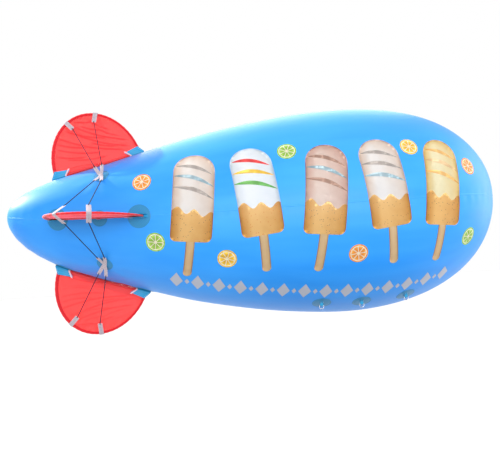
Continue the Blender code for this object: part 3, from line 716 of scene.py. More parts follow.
class Fin:
    """Places on one fin, from its azimuth."""

    def __init__(self, azimuth):
        self.azimuth = azimuth
        self.rear, self.front = (point + normal * BASE_LIFT for point, normal in
                                 (bare_skin(FIN_REAR, azimuth), bare_skin(FIN_FRONT, azimuth)))
        self.chord = (self.front - self.rear).length
        self.ahead = (self.front - self.rear).normalized()
        radial = Vector((0, -cos(radians(azimuth)), sin(radians(azimuth))))
        self.out = (radial - self.ahead * radial.dot(self.ahead)).normalized()
        self.side = self.ahead.cross(self.out).normalized()

    def arch(self, angle):
        along = self.chord / 2 * (1 + cos(angle)) - FIN_LEAN * sin(angle)
        return self.rear + self.ahead * along + self.out * FIN_HEIGHT * sin(angle)

    def base(self, share):
        point, normal = bare_skin(FIN_REAR + (FIN_FRONT - FIN_REAR) * share, self.azimuth)
        point += normal * BASE_LIFT
        return point - self.side * (point - self.rear).dot(self.side)

    def rim(self, angle):
        """Point, direction along the arch and direction into the fin."""
        along = (self.arch(angle - 0.01) - self.arch(angle + 0.01)).normalized()
        return self.arch(angle), along, -self.side.cross(along).normalized()


fins = {name: Fin(azimuth) for name, azimuth in FINS.items()}
for name, fin in fins.items():
    fin.pull = CALM.get(name, 1.0)
    if fin.rim(pi / 2)[2].dot(fin.out) > 0:
        fin.side = -fin.side
print("chord", round(fins["top"].chord, 3), "m, height", FIN_HEIGHT, "m")

# %% [markdown]
# The cloth is cut to the arch and stretched, so it is nearly flat. Tension leaves long creases that run from
# the rear rim tab towards the front pocket, and the sleeve gathers its edge in small puckers. Cloth
# simulation would need a very fine mesh for such sharp creases, so they are drawn: each crease is a line
# in a table, and the cloth rises to a crest along it. Painted shade deepens the red most on a crest, and
# the cloth is a little deeper below the hem line.

# %% The creases of a fin's cloth
EDGE_IN = 0.004                 # the cloth's edge lies this far inside the rods' middle lines
FIN_CREASES = (
    # where it starts and ends along the chord and out from it, and its height
    (0.225, 0.385, 0.655, 0.120, 0.0050), (0.265, 0.285, 0.650, 0.072, 0.0046),
    (0.100, 0.312, 0.600, 0.060, -0.0048), (0.180, 0.345, 0.500, 0.190, -0.0030),
    (0.085, 0.262, 0.330, 0.158, 0.0034), (0.065, 0.225, 0.420, 0.095, -0.0036),
    (0.050, 0.165, 0.300, 0.090, 0.0030), (0.340, 0.200, 0.560, 0.100, 0.0032),
    (0.300, 0.355, 0.480, 0.262, -0.0036), (0.260, 0.398, 0.430, 0.350, 0.0034),
    (0.270, 0.428, 0.380, 0.396, 0.0026), (0.420, 0.300, 0.600, 0.170, 0.0028),
    (0.120, 0.120, 0.460, 0.055, -0.0026), (0.380, 0.380, 0.540, 0.240, 0.0026))
CREASE_WIDE, CREASE_FADE = 0.0095, 0.035
CREASE_BEND = 0.05              # a crease bows sideways by this share of its length
CREASE_FLANKS = (0.45, 3)       # the cloth beside it rises to this share of it, over this many widths
FULL_SHADE_AT = 0.0032              # a crease this high gets the full painted shade
HEM_DEEPER = 0.10                 # and the cloth below the hem line gets this much deeper red
HEM_REAR, HEM_FRONT = 0.040, 0.005      # the hem line runs this high above the base rod
HEM_FALLS = (0.25, 0.62)                # and falls between these shares of the chord
PUCKERS_ON_ARCH, PUCKER_DEEP, PUCKER_IN = 46, 0.0022, 0.045
PINNED_RIM, PINNED_BASE = 0.012, 0.020      # the cloth lies flat this near the arch and the base


def hem_high(share):
    """Height of the hem line at a share of the chord."""
    return HEM_REAR + (HEM_FRONT - HEM_REAR) * step_between(share, *HEM_FALLS)


def crease(fin, x, y):
    """How far the cloth stands off its plane at a place on the fin, and how much painted shade its crease
    gets.
    """
    height, fold_shade = 0.0, 0.0
    for x_from, y_from, x_to, y_to, rise in FIN_CREASES:
        rise *= fin.pull
        run_x, run_y = x_to - x_from, y_to - y_from
        long = hypot(run_x, run_y)
        along = ((x - x_from) * run_x + (y - y_from) * run_y) / long
        if not 0 < along < long:
            continue
        bend = CREASE_BEND * long * sin(pi * along / long)
        off = ((x - x_from) * run_y - (y - y_from) * run_x) / long - bend
        alive = step_between(along, 0.0, CREASE_FADE)
        alive *= 1 - step_between(along, long - 2 * CREASE_FADE, long)
        crest = max(0.0, 1 - abs(off) / CREASE_WIDE)
        flanks = CREASE_FLANKS[0] * exp(-(off / (CREASE_FLANKS[1] * CREASE_WIDE)) ** 2)
        height += alive * rise * (crest ** 1.5 + flanks)
        # painted shade along the crest of the crease
        fold_shade = max(fold_shade, alive * crest ** 1.2 * min(1.0, abs(rise) / FULL_SHADE_AT))
    return height, fold_shade


def cloth_point(fin, share, up, lift=0.0):
    """Point of the cloth and how much deeper its red is painted: share runs along the base, up from the base
    to the arch.
    """
    angle = pi * (1 - share)
    foot, top = fin.base((1 + cos(angle)) / 2), fin.arch(angle)
    span = (top - foot).length
    inset = min(0.5, EDGE_IN / max(span, 0.001))
    flat = foot + (top - foot) * (inset + (1 - 2 * inset) * up)
    x, y = (flat - fin.rear).dot(fin.ahead), (flat - fin.rear).dot(fin.out)
    height, fold_shade = crease(fin, x, y)
    from_rim = (1 - up) * span
    height += PUCKER_DEEP * sin(PUCKERS_ON_ARCH * angle) * exp(-from_rim / PUCKER_IN) * sin(angle)
    pinned = step_between(from_rim, 0.0, PINNED_RIM) * step_between(up * span, 0.0, PINNED_BASE)
    high = hem_high(x / fin.chord)
    # a little deeper red below the hem line
    hem = HEM_DEEPER * (1 - step_between(up * span, high - 0.002, high))
    return flat + fin.side * (height * pinned + lift), max(fold_shade * pinned, hem), (x, y)


print("creases:", len(FIN_CREASES))

# %% [markdown]
# The cloth's mesh is a grid of points between the base rod and the arch, once for each face, closed along
# its edge. Its UV map is the cut as it lies on the table. `flat_area` gives the area of that cut.

# %% Build a fin's cloth
CLOTH_ALONG, CLOTH_UP = 150, 76
CLOTH_THICK = 0.0005


def fin_cloth(name, fin):
    verts, fold_shades, spots = [], [], []
    for face_side in (1, -1):
        for row in range(CLOTH_UP + 1):
            for column in range(1, CLOTH_ALONG):
                point, fold_shade, spot = cloth_point(fin, column / CLOTH_ALONG, row / CLOTH_UP,
                                                face_side * CLOTH_THICK / 2)
                verts.append(point)
                fold_shades.append(fold_shade)
                spots.append(spot)
    wide = CLOTH_ALONG - 1
    half = wide * (CLOTH_UP + 1)
    faces = []
    for row in range(CLOTH_UP):
        for column in range(wide - 1):
            a = row * wide + column
            faces.append((a, a + 1, a + wide + 1, a + wide))
            faces.append((a + half, a + half + wide, a + half + wide + 1, a + half + 1))
    edge = list(range(wide)) + [row * wide + wide - 1 for row in range(1, CLOTH_UP + 1)]
    edge += list(range(CLOTH_UP * wide + wide - 2, CLOTH_UP * wide - 1, -1))
    edge += [row * wide for row in range(CLOTH_UP - 1, 0, -1)]
    for here, there in zip(edge, edge[1:] + edge[:1]):
        faces.append((here, here + half, there + half, there))
    uvs = [{c: spots[c] for c in face} for face in faces]
    # the number on each point paints shade on crease crests and a deeper red below the hem line
    return object_from(name, verts, faces, CLOTH, uvs, 60, {"fold_shade": fold_shades})


def flat_area(fin, steps=200):
    """The cut's area before it is stretched."""
    rows = [(fin.base((1 - cos(pi * s / steps)) / 2), fin.arch(pi * (1 - s / steps)))
            for s in range(steps + 1)]
    return sum(((b[1] - a[0]).cross(b[0] - a[1])).length / 2 for a, b in zip(rows, rows[1:]))


print("a fin takes", round(flat_area(fins["top"]), 3), "square metres")

# %% [markdown]
# The rods are hidden in sleeves: the cloth's edge is folded round them and sewn. A sleeve is drop-shaped in
# section, round over the rod and narrow where its two layers meet, and it is gathered, so it swells and
# shrinks a little all along. Below the base sleeve a narrow flap, the skirt, rests on the film.

# %% The sleeve's section and the skirt
SLEEVE_STEPS, BASE_STEPS, SLEEVE_SIDES = 170, 90, 14
SLEEVE_PLAY = 0.0004            # the sleeve lies this far inside the rod's radius
SLEEVE_THIN = 0.0024            # the sleeve is this much tighter at the front of the arch
SLEEVE_TAIL = (0.0085, 0.0015)  # how far the sewn edge reaches past it, at the rear and at the front
GATHERS, BASE_GATHERS, GATHER_HIGH = 58, 60, 0.0006
STITCH_PITCH, STITCH_SIZE = 0.0070, (0.0052, 0.0014, 0.0012)
SEAM_IN, SEAM_OFF = 0.004, 0.0030           # the sleeve's stitches run here past the rod and off the middle
HEM_TAPE_HALF, HEM_TAPE_FOOT, HEM_TAPE_TOP, HEM_TAPE_BACK = 0.0018, 0.0004, 0.0014, 0.0002
HEM_STITCH_OFF = 0.0015
HEM_FROM, HEM_TO, HEM_HIGHEST = 14, 140, 0.6    # the cloth's columns that it crosses
SKIRT_STEPS, SKIRT_END, SKIRT_FOOT, SKIRT_THICK, SKIRT_WAVE = 90, 0.02, 0.0006, 0.0012, 0.0011


def sleeve_ring(centre, inward, side, swell, forward):
    """A section pinched towards the cloth. forward is 0 at the arch's rear and 1 in front."""
    ring = []
    for step in range(SLEEVE_SIDES - 2):
        angle = pi / 6 + (tau - pi / 3) * step / (SLEEVE_SIDES - 3)
        ring.append(centre + (inward * cos(angle) + side * sin(angle))
                    * (ROD_RADIUS - SLEEVE_PLAY - SLEEVE_THIN * forward + swell))
    tip = ROD_RADIUS + SLEEVE_TAIL[0] + (SLEEVE_TAIL[1] - SLEEVE_TAIL[0]) * forward
    ring += [centre + inward * tip - side * 0.0013, centre + inward * tip + side * 0.0013]
    return ring


def skirt(name, fin):
    """A narrow flap that hangs from the base sleeve and rests on the film, and so closes the gap."""
    rings = []
    for step in range(SKIRT_STEPS + 1):
        share = SKIRT_END + (1 - 2 * SKIRT_END) * step / SKIRT_STEPS
        at = FIN_REAR + (FIN_FRONT - FIN_REAR) * share
        top = fin.base(share) - fin.out * (ROD_RADIUS - 0.002)
        foot = skin(at, fin.azimuth, SKIRT_FOOT)
        wave = fin.side * SKIRT_WAVE * sin(tau * step / 6)
        half = fin.side * SKIRT_THICK / 2
        middle = (top + foot) / 2 + wave * 0.6
        foot += wave
        rings.append([top + half, middle + half, foot + half, foot - half, middle - half, top - half])
    return loft(name, rings, CLOTH, sharp=60)


print("a sleeve's section has", SLEEVE_SIDES, "points")

# %% [markdown]
# Each fin is put together: the sleeve runs once round the arch and back along the base, a narrow hem line
# crosses the cloth's foot on both faces, and rows of stitches follow both.

# %% Sleeves, hem lines and their stitches
for name, fin in fins.items():
    cloth = fin_cloth(f"fin_{name}_cloth", fin)
    rings, seam_line = [], []
    for step in range(SLEEVE_STEPS):
        angle = pi * step / SLEEVE_STEPS
        point, along, inward = fin.rim(angle)
        swell = GATHER_HIGH * (sin(GATHERS * angle) + 0.5 * sin(GATHERS * 1.7 * angle + 1))
        rings.append(sleeve_ring(point, inward, fin.side, swell, step_between(cos(angle), -1.0, 0.7)))
        seam_line.append((point, inward))
    for step in range(BASE_STEPS):
        share = step / BASE_STEPS
        point = fin.base(share)
        rings.append(sleeve_ring(point, fin.out, fin.side, GATHER_HIGH * sin(BASE_GATHERS * share), share))
    sleeve = loft(f"fin_{name}_sleeve", rings, SLEEVE, closed=True, sharp=60)
    sleeve.data.materials.append(CLOTH)
    for face in sleeve.data.polygons[SLEEVE_STEPS * SLEEVE_SIDES:]:
        face.material_index = 1
    dress(sleeve, "hull", "fin_sleeve", f"fin_{name}_frame")
    runs = [[(point + inward * (ROD_RADIUS + SEAM_IN) + fin.side * level * SEAM_OFF, fin.side * level)
             for point, inward in seam_line[4:-4]] for level in (1, -1)]
    hems = []
    for level in (1, -1):
        tape = []
        for step in range(HEM_FROM, HEM_TO):
            share = step / CLOTH_ALONG
            span = (fin.arch(pi * (1 - share)) - fin.base((1 - cos(pi * share)) / 2)).length
            up = [(hem_high((1 - cos(pi * share)) / 2) + k * HEM_TAPE_HALF) / span for k in (-1, 0, 1)]
            if up[2] < HEM_HIGHEST:
                tape.append([cloth_point(fin, share, u)[0] for u in up])
        off = fin.side * level
        hems.append(loft(f"hem_{level}", [
            [low + off * HEM_TAPE_FOOT, mid + off * HEM_TAPE_TOP, top + off * HEM_TAPE_FOOT,
             mid + off * HEM_TAPE_BACK] for low, mid, top in tape], SLEEVE, sharp=60))
        runs.append([(mid + off * HEM_STITCH_OFF, off) for low, mid, top in tape])
    hem = joined(f"fin_{name}_hem_line", hems)
    dress(hem, "hull", "fin_sleeve")
    flap = skirt(f"fin_{name}_skirt", fin)
    dress(flap, "hull", "fin_sleeve")
    stitches = run_tree(path_object(runs), GRAINS, f"fin_{name}_stitches", pitch=STITCH_PITCH,
                        size=STITCH_SIZE, material=RED_THREAD)
    dress(stitches, "hull", "fin_sleeve")
    dress(cloth, "hull", "fin_cloth", f"fin_{name}_panel")
    flat_area(fin)

# %% [markdown]
# Teal pockets hold the base rod's ends down on their round patches. Each is a piece of coated cloth folded
# over the rod, welded to the patch on both sides, with a short white tape bound over its inner end, tinted
# pink as painted red light from the fin's cloth. A web loop holds the rod's middle in the same way.

# %% Pockets and middle loops
SADDLES = (
    # name, patch radius, middle's share of the chord, length, leg
    ("rear_pocket", 0.083, 0.065, 0.120, 0.044),
    ("mid_loop", 0.060, 0.520, 0.030, 0.014),
    ("front_pocket", 0.088, 0.935, 0.120, 0.044))
FOLD_RADIUS = 0.0118            # middle of the folded web round the rod
WEB_THICK = 0.0018
TAPE_LONG, TAPE_PAST, TAPE_OVER, TAPE_THICK = 0.014, 0.001, 0.0004, 0.001
POCKET_STITCH_PITCH, POCKET_STITCH, POCKET_STITCH_IN = 0.006, (0.0045, 0.0013, 0.0011), 0.006
POCKET_FOOT, POCKET_SLANT = -0.020, 0.038      # its outer end leans in from the film to the rim
POCKET_TILT = 0.010                            # and its upper edge is this much steeper at the inner end


def folded(centre, down, across, radius, leg, steps=14):
    """Path and normals of a web that comes up one side of a rod, over it and down the other."""
    first, last = ([(centre - down * leg * k + across * sign * radius, across * sign)
                    for k in (1.0, 0.75, 0.5, 0.25)] for sign in (-1, 1))
    turns = [-across * cos(pi * step / steps) + down * sin(pi * step / steps) for step in range(steps + 1)]
    rows = first + [(centre + out * radius, out) for out in turns] + last[::-1]
    return [point for point, out in rows], [out for point, out in rows]


for name, fin in fins.items():
    for part, patch_radius, share, length, leg in SADDLES:
        reach = length / 2 / fin.chord
        back, fore = fin.base(share - reach), fin.base(share + reach)
        centre = (fin.base(share) * 2 + back + fore) / 4
        ahead = (fore - back).normalized()
        out = (fin.out - ahead * fin.out.dot(ahead)).normalized()
        path, normals = folded(centre, -out, fin.side, FOLD_RADIUS, leg)
        finish = SLEEVE if part == "mid_loop" else TEAL
        pieces = [round_patch("patch", SADDLE_STATIONS[part], fin.azimuth, patch_radius)]
        slot = "patch" if part == "mid_loop" else "pocket"
        inner = 1 if part == "rear_pocket" else -1
        web_path, halves = [], []
        for point, normal in zip(path, normals):
            share_up = max(0.0, (point - centre).dot(out) / leg)
            slant, tilt = 0.0, 0.0
            if part != "mid_loop":
                slant = inner * (POCKET_FOOT + POCKET_SLANT * share_up)
                tilt = POCKET_TILT * -inner * share_up
            web_path.append(point + ahead * slant)
            halves.append(ahead * length / 2 + out * tilt)
        pieces.append(strap("web", web_path, normals, halves, WEB_THICK, finish))
        if part != "mid_loop":
            tape_path = [p + ahead * inner * (length / 2 - TAPE_LONG / 2 + TAPE_PAST) for p in web_path]
            wider = [p + n * TAPE_OVER for p, n in zip(tape_path, normals)]
            # the white tape's pink tint is painted red light from the fin's cloth
            pieces.append(strap("tape", wider, normals, [ahead * TAPE_LONG / 2] * len(wider),
                                WEB_THICK + TAPE_THICK, WHITE_TAPE_RED_LIGHT))
        made = joined(f"fin_{name}_{part}_web", pieces)
        dress(made, "hull", slot, f"fin_{name}_{part}")
        edge = [[(p + n * WEB_THICK * 0.6 + ahead * k * (length / 2 - POCKET_STITCH_IN), n)
                 for p, n in list(zip(web_path, normals))[part_of]]
                for k in ((inner * -1,) if part != "mid_loop" else (1, -1))
                for part_of in (slice(0, 4), slice(-4, None))]
        dress(run_tree(path_object(edge), GRAINS, f"fin_{name}_{part}_stitches", pitch=POCKET_STITCH_PITCH,
                       size=POCKET_STITCH, material=THREAD), "hull", "webbing")

# %% [markdown]
# White webbing tabs are folded over each fin's rim, and their legs flare out towards four anchors that
# stand on the tail between the fins. Cords run taut between them, so a leg has to lean the way its cord
# pulls. `anchor_apex` finds where a fin's two cords would meet over an anchor, and `leg_end` how a leg leans.

# %% Where the tabs, anchors and stays lie
RIM_TABS = {"rear": radians(111), "front": radians(70.5)}   # angle along the arch, from its front end
TAB_WIDTH, TAB_LENGTH, TAB_THICK, TAB_RUN = 0.036, 0.100, 0.0018, 0.0006
RIDGE = 0.0012
CORD_RADIUS = 0.0034
CORD_INSIDE = 0.010
APEX_OUT, APEX_HIGH, APEX_WIDE = 0.0225, 0.0079, 0.018
NEXT_TO = 60               # a fin and an anchor less than this many degrees apart share a stay
ANCHOR_RADIUS = 0.062
ARM_REACH, ARM_WIDTH, ARM_BELOW = 0.078, 0.027, 0.0049
HUB_HIGH, HUB_EDGE, HUB_HALF = 0.0034, 0.014, 0.012    # where an arm leaves the hub
CROSS_BACK, CROSS_OVER = 0.013, 0.006                 # and how far past the middle it begins
WHIP_TURNS, WHIP_WIRE, WHIP_FROM = 5, 0.0006, 0.004
TAB_STITCH_PITCH, TAB_STITCH = 0.0055, (0.0042, 0.0012, 0.0010)
STITCH_ROWS = (-0.82, -0.42, 0.42, 0.82)              # shares of half the webbing's width
RIDGE_SECTION = (                # share of half the width, share of half the thickness, on the ridge or not
    (1.0, 0.4, 0), (0.94, 1, 0), (0.34, 1, 0), (0.13, 1, 1),
    (-0.13, 1, 1), (-0.34, 1, 0), (-0.94, 1, 0), (-1.0, 0.4, 0))
RIDGE_SECTION += tuple((share, -level, -up) for share, level, up in RIDGE_SECTION[::-1])


def ridged_strap(name, path, normals, across, width, thick, ridge):
    """Webbing with a cord sewn in along its middle: a low ridge on both faces."""
    rings = [[point + across * share * width / 2 + normal * (thick / 2 * level + ridge * up)
              for share, level, up in RIDGE_SECTION] for point, normal in zip(path, normals)]
    return loft(name, rings, WEBBING)


def strap_stitches(name, path, normals, across, width, thick, ends):
    """Rows of stitches beside the ridge and along the edges, on the outer face."""
    runs = []
    for share in STITCH_ROWS:
        for part_of in ends:
            runs.append([(p + across * share * width / 2 + n * thick * 0.55, n)
                         for p, n in list(zip(path, normals))[part_of]])
    return run_tree(path_object(runs), GRAINS, name, pitch=TAB_STITCH_PITCH, size=TAB_STITCH, material=THREAD)


def ahead_on_skin(station, azimuth):
    """The way towards the nose along the skin."""
    return (bare_skin(station + 0.002, azimuth)[0] - bare_skin(station - 0.002, azimuth)[0]).normalized()


def anchor_apex(azimuth, fin):
    """Where a fin's cords would meet over an anchor's hub, with the hub's own directions."""
    centre, normal = bare_skin(ANCHOR_STATION, azimuth)
    ahead = ahead_on_skin(ANCHOR_STATION, azimuth)
    round_ = normal.cross(ahead).normalized()
    towards = round_ if (fin.front - centre).dot(round_) > 0 else -round_
    seat = centre + normal * APEX_HIGH + towards * APEX_OUT
    rise = sum((way for _, way, _, _ in stay_legs(fin, seat)), Vector()).normalized()
    return seat + normal * rise.dot(normal) * APEX_WIDE, centre, normal, ahead, towards


def leg_end(fin, angle, anchor):
    """End of the tab's leg on the anchor's side, its direction, the way out of it and its lean."""
    point, along, inward = fin.rim(angle)
    pull = anchor - point
    side = fin.side if pull.dot(fin.side) > 0 else -fin.side
    lean = atan2(pull.dot(side), pull.dot(inward))
    leg = inward * cos(lean) + side * sin(lean)
    outer = side * cos(lean) - inward * sin(lean)
    start = point + outer * (ROD_RADIUS + TAB_RUN + TAB_THICK / 2)
    return start + leg * TAB_LENGTH, leg, outer, lean


def stay_legs(fin, apex):
    """Each stay's rim tab end, the way to it, and the way off it to the outside of their turn."""
    ends = [leg_end(fin, angle, apex) for angle in RIM_TABS.values()]
    ways = [(end[0] - apex).normalized() for end in ends]
    plane = ways[0].cross(ways[1]).normalized()
    return zip(ends, ways, (-plane.cross(ways[0]), plane.cross(ways[1])), (-1, 1))


def is_next_to(azimuth, other):
    return min((azimuth - other) % 360, (other - azimuth) % 360) < NEXT_TO


print("anchors:", len(ANCHORS), "rim tabs:", len(fins) * len(RIM_TABS))

# %% [markdown]
# A tab goes up one leg, round the rim and down the other. A cord is sewn in along the middle of each leg,
# which raises a low ridge, with a row of stitches on either side of it and one along each edge.

# %% Rim tabs
for name, fin in fins.items():
    pulls = [anchor_apex(azimuth, fin)[0] for azimuth in ANCHORS.values() if is_next_to(fin.azimuth, azimuth)]
    for place, angle in RIM_TABS.items():
        point, along, inward = fin.rim(angle)
        lean = {1 if (pull - point).dot(fin.side) > 0 else -1: leg_end(fin, angle, pull)[3] for pull in pulls}
        radius = ROD_RADIUS + TAB_RUN + TAB_THICK / 2
        path, normals = [], []
        for step in range(13):
            swing = lean[-1] - pi / 2 + (pi - lean[-1] - lean[1]) * step / 12
            out = -inward * cos(swing) + fin.side * sin(swing)
            path.append(point + out * radius)
            normals.append(out)
        first, last = (path[0], normals[0]), (path[-1], normals[-1])
        for sign, (root, turn) in ((-1, first), (1, last)):
            leg = inward * cos(lean[sign]) + fin.side * sign * sin(lean[sign])
            rows = [(root + leg * TAB_LENGTH * k / 6, turn) for k in range(1, 7)]
            if sign < 0:
                path, normals = [r[0] for r in rows[::-1]] + path, [r[1] for r in rows[::-1]] + normals
            else:
                path, normals = path + [r[0] for r in rows], normals + [r[1] for r in rows]
        node = f"fin_{name}_{place}_rim_tab"
        dress(ridged_strap(node + "_webbing", path, normals, along, TAB_WIDTH, TAB_THICK, RIDGE * 0.5),
              "hull", "webbing", node)
        dress(strap_stitches(node + "_stitches", path, normals, along, TAB_WIDTH, TAB_THICK,
                             (slice(0, 7), slice(-7, None))), "hull", "webbing")


# %% [markdown]
# At an anchor each cord enters an arm of webbing in the same way. The arms cross over the middle of a round
# patch, each lying on the one before. The cords are straight because they are taut, and a thread is wound
# round them where they leave the webbing.

# %% Anchors and stays


def whipping(start, way):
    """A tight thread wound round a cord where it leaves the webbing."""
    side = way.orthogonal().normalized()
    top = way.cross(side)
    path = [start + way * (WHIP_FROM + 2 * WHIP_WIRE * k / 8)
            + (side * cos(tau * k / 8) + top * sin(tau * k / 8)) * (CORD_RADIUS + WHIP_WIRE * 0.5)
            for k in range(WHIP_TURNS * 8 + 1)]
    return bar("whipping", path, WHIP_WIRE, 6, CORD)


for anchor, azimuth in ANCHORS.items():
    dress(round_patch(f"anchor_{anchor}_disc", ANCHOR_STATION, azimuth, ANCHOR_RADIUS), "hull", "patch",
          f"anchor_{anchor}_patch")
    arms, runs = [], []
    for name, fin in fins.items():
        if not is_next_to(fin.azimuth, azimuth):
            continue
        apex, centre, normal, ahead, towards = anchor_apex(azimuth, fin)
        cords = []
        for (end, leg, _, _), run, outside, sign in stay_legs(fin, apex):
            across = run.cross(normal).normalized()
            lifted = across.cross(run).normalized()
            lifted = lifted if lifted.dot(normal) > 0 else -lifted
            hub = centre + normal * (HUB_HIGH + TAB_THICK * len(arms))
            tip = apex + run * ARM_REACH - normal * ARM_BELOW
            tip += outside * APEX_WIDE * (1 - ARM_REACH / (end - apex).length)
            root = hub + towards * HUB_EDGE + ahead * sign * HUB_HALF
            start = hub - towards * CROSS_BACK - ahead * sign * CROSS_OVER
            path, normals = [], []
            for step in range(15):
                k = step / 14
                path.append(start * (1 - k) ** 2 + root * 2 * k * (1 - k) + tip * k ** 2)
                normals.append((normal * (1 - k) + lifted * k).normalized())
            arms.append(ridged_strap("arm", path, normals, across, ARM_WIDTH, TAB_THICK, RIDGE * 0.5))
            runs.append((path, normals, across))
            near, far = tip - run * CORD_INSIDE, end - leg * CORD_INSIDE
            way = (end - tip).normalized()
            cords.append(bar("cord", [near, tip, end, far], CORD_RADIUS, 10, CORD))
            cords += [whipping(tip, way), whipping(end, -way)]
        dress(joined(f"stay_cords_{anchor}_to_{name}", cords), "hull", "cord", f"stay_{anchor}_to_{name}")
    dress(joined(f"anchor_{anchor}_arms", arms), "hull", "webbing", f"anchor_{anchor}_tabs")
    seams = [[(p + a * share * ARM_WIDTH / 2 + n * TAB_THICK * 0.55, n) for p, n in zip(path, normals)]
             for path, normals, a in runs for share in STITCH_ROWS]
    dress(run_tree(path_object(seams), GRAINS, f"anchor_{anchor}_stitches", pitch=TAB_STITCH_PITCH,
                   size=TAB_STITCH, material=THREAD), "hull", "webbing")

# %% [markdown]
# Under the belly hang six tether rings, three on each side. A strap loop holds each ring: it comes down from
# its round patch, goes round the ring's straight bar and back up, and its two feet are welded to the patch.
# The rings are bent from wire, so a D with rounded corners and one weld bead is carried round by `bar`.

# %% Belly lugs and tether rings
LUG_PATCH_RADIUS, LUG_DROP, LUG_WIDTH = 0.075, 0.020, 0.025
RING_WIRE, RING_HALF, RING_STRAIGHT = 0.0025, 0.0175, 0.008
RING_CORNER = 0.0045
BEAD_FROM, BEAD_STEP, BEAD_PROUD = 0.0100, 0.0005, 0.0003
LOOP_THICK, LOOP_LIFT = 0.0016, 0.0009      # the lift puts the web's middle just clear of what it lies on
LOOP_RADIUS = RING_WIRE + 0.0006 + LOOP_LIFT
FOOT = 0.030
FOOT_SHARES = (1.0, 0.7, 0.42, 0.24)
FOOT_RISE, FOOT_BEND = 0.006, 0.0052        # where a foot turns up towards the ring


def rounded(points, radius, steps=5):
    """A closed path with its corners rounded."""
    path = []
    for index, point in enumerate(points):
        before = (points[index - 1] - point).normalized()
        after = (points[(index + 1) % len(points)] - point).normalized()
        begin, end = point + before * radius, point + after * radius
        for step in range(steps + 1):
            k = step / steps
            path.append(begin * (1 - k) ** 2 + point * 2 * k * (1 - k) + end * k ** 2)
    return path


for flank, azimuth in LUG_AZIMUTH.items():
    for place, station in LUG_STATIONS.items():
        key = f"{flank}_{place}"
        centre, normal = bare_skin(station, azimuth)
        ahead = ahead_on_skin(station, azimuth)
        up = (Vector((0, 0, 1)) - ahead * ahead.z).normalized()
        axis, across = centre - up * LUG_DROP, ahead.cross(up).normalized()
        thick_here = 2 * abs(bare_skin(station, 0)[0].y)
        path, normals = [], []
        for sign in (-1, 1):
            foot = []
            for k in FOOT_SHARES:
                spot = centre + across * sign * FOOT * k
                flat = spot + normal * (centre - spot).dot(normal)
                flat += normal * (PATCH_LIFT + PATCH_THICK + LOOP_LIFT - (FOOT * k) ** 2 / thick_here)
                foot.append((flat, normal))
            foot.append((centre + normal * FOOT_RISE + across * sign * FOOT_BEND,
                         (normal + across * sign).normalized()))
            foot.append((axis + up * FOOT_RISE + across * sign * LOOP_RADIUS, across * sign))
            path += [p for p, n in (foot if sign < 0 else foot[::-1])]
            normals += [n for p, n in (foot if sign < 0 else foot[::-1])]
            if sign < 0:
                for step in range(13):
                    out = -across * cos(pi * step / 12) - up * sin(pi * step / 12)
                    path.append(axis + out * LOOP_RADIUS)
                    normals.append(out)
        web = strap("loop", path, normals, [ahead * LUG_WIDTH / 2] * len(path), LOOP_THICK, TEAL)
        patch = round_patch("patch", station, azimuth, LUG_PATCH_RADIUS)
        dress(joined(f"lug_{key}_patch", [patch, web]), "hull", "patch", f"lug_{key}")
        feet = [[(p + ahead * share * LUG_WIDTH / 2 + n * LOOP_LIFT, n)
                 for p, n in list(zip(path, normals))[part_of]]
                for share in (-0.75, 0.75) for part_of in (slice(0, 4), slice(-4, None))]
        dress(run_tree(path_object(feet), GRAINS, f"lug_{key}_stitches", pitch=TAB_STITCH_PITCH,
                       size=TAB_STITCH, material=THREAD), "hull", "patch")
        arc = [axis - up * RING_STRAIGHT + (ahead * cos(pi * k / 24) - up * sin(pi * k / 24)) * RING_HALF
               for k in range(25)]
        left, right = axis - ahead * RING_HALF, axis + ahead * RING_HALF
        corners = rounded([left, right, arc[0], arc[-1]], RING_CORNER)[0:12]
        ring = bar("ring", corners + arc, RING_WIRE, 16, STEEL, closed=True, plane=across)
        bead = bar("bead", [axis + ahead * (BEAD_FROM + BEAD_STEP * k) for k in range(6)],
                   RING_WIRE + BEAD_PROUD, 16, STEEL)
        dress(joined(f"ring_{key}_wire", [ring, bead]), f"tether_ring_{key}", "steel", f"ring_{key}")

# %% [markdown]
# The filler valve is on the port flank, out of the picture. A flange is welded to the film, a short neck
# stands on it, and a cap with a plug is hinged at its upper side. All are turned or boxed forms with
# rounded edges: `turned_ring` makes the first and `box_piece` the second.

# %% The valve's sizes and forms
FLANGE_RADIUS, FLANGE_THICK, FLANGE_LIFT = 0.050, 0.003, 0.0009
NECK_RADIUS, NECK_TOP, NECK_DEEP, BORE_RADIUS = 0.024, 0.022, 0.016, 0.019
LIP_RADIUS, LIP_THICK = 0.028, 0.004
CAP_RADIUS, CAP_THICK, PLUG_RADIUS, PLUG_DEEP = 0.030, 0.004, 0.016, 0.005
CAP_UNDER = NECK_TOP + 0.0004
HINGE_OUT, HINGE_UP, PIN_RADIUS = 0.034, 0.0244, 0.0016
KNUCKLE_RADIUS, KNUCKLE_HALF, EAR_HALF = 0.0034, 0.006, 0.011
EAR_GAP, EAR_FOOT, EAR_POST = 0.0004, (0.0165, 0.0215), (0.0175, 0.0274)
EAR_PAST = 0.0033
VALVE_SIDES = 64
CAP_RIBS, CAP_RIB_PITCH, CAP_RIB = 96, 0.0046, (0.0012, 0.0030, 0.0010)

valve_ahead = ahead_on_skin(*VALVE)
valve_up = valve_out.cross(valve_ahead).normalized()
valve_up = valve_up if valve_up.z > 0 else -valve_up


def turned_ring(name, profile, finish):
    """A shape turned round the valve's axis: profile lists radius and height and closes on itself."""
    rings = []
    for side in range(VALVE_SIDES):
        way = valve_ahead * cos(tau * side / VALVE_SIDES) + valve_up * sin(tau * side / VALVE_SIDES)
        rings.append([valve_centre + way * radius + valve_out * height for radius, height in profile])
    return loft(name, rings, finish, closed=True, sharp=35)


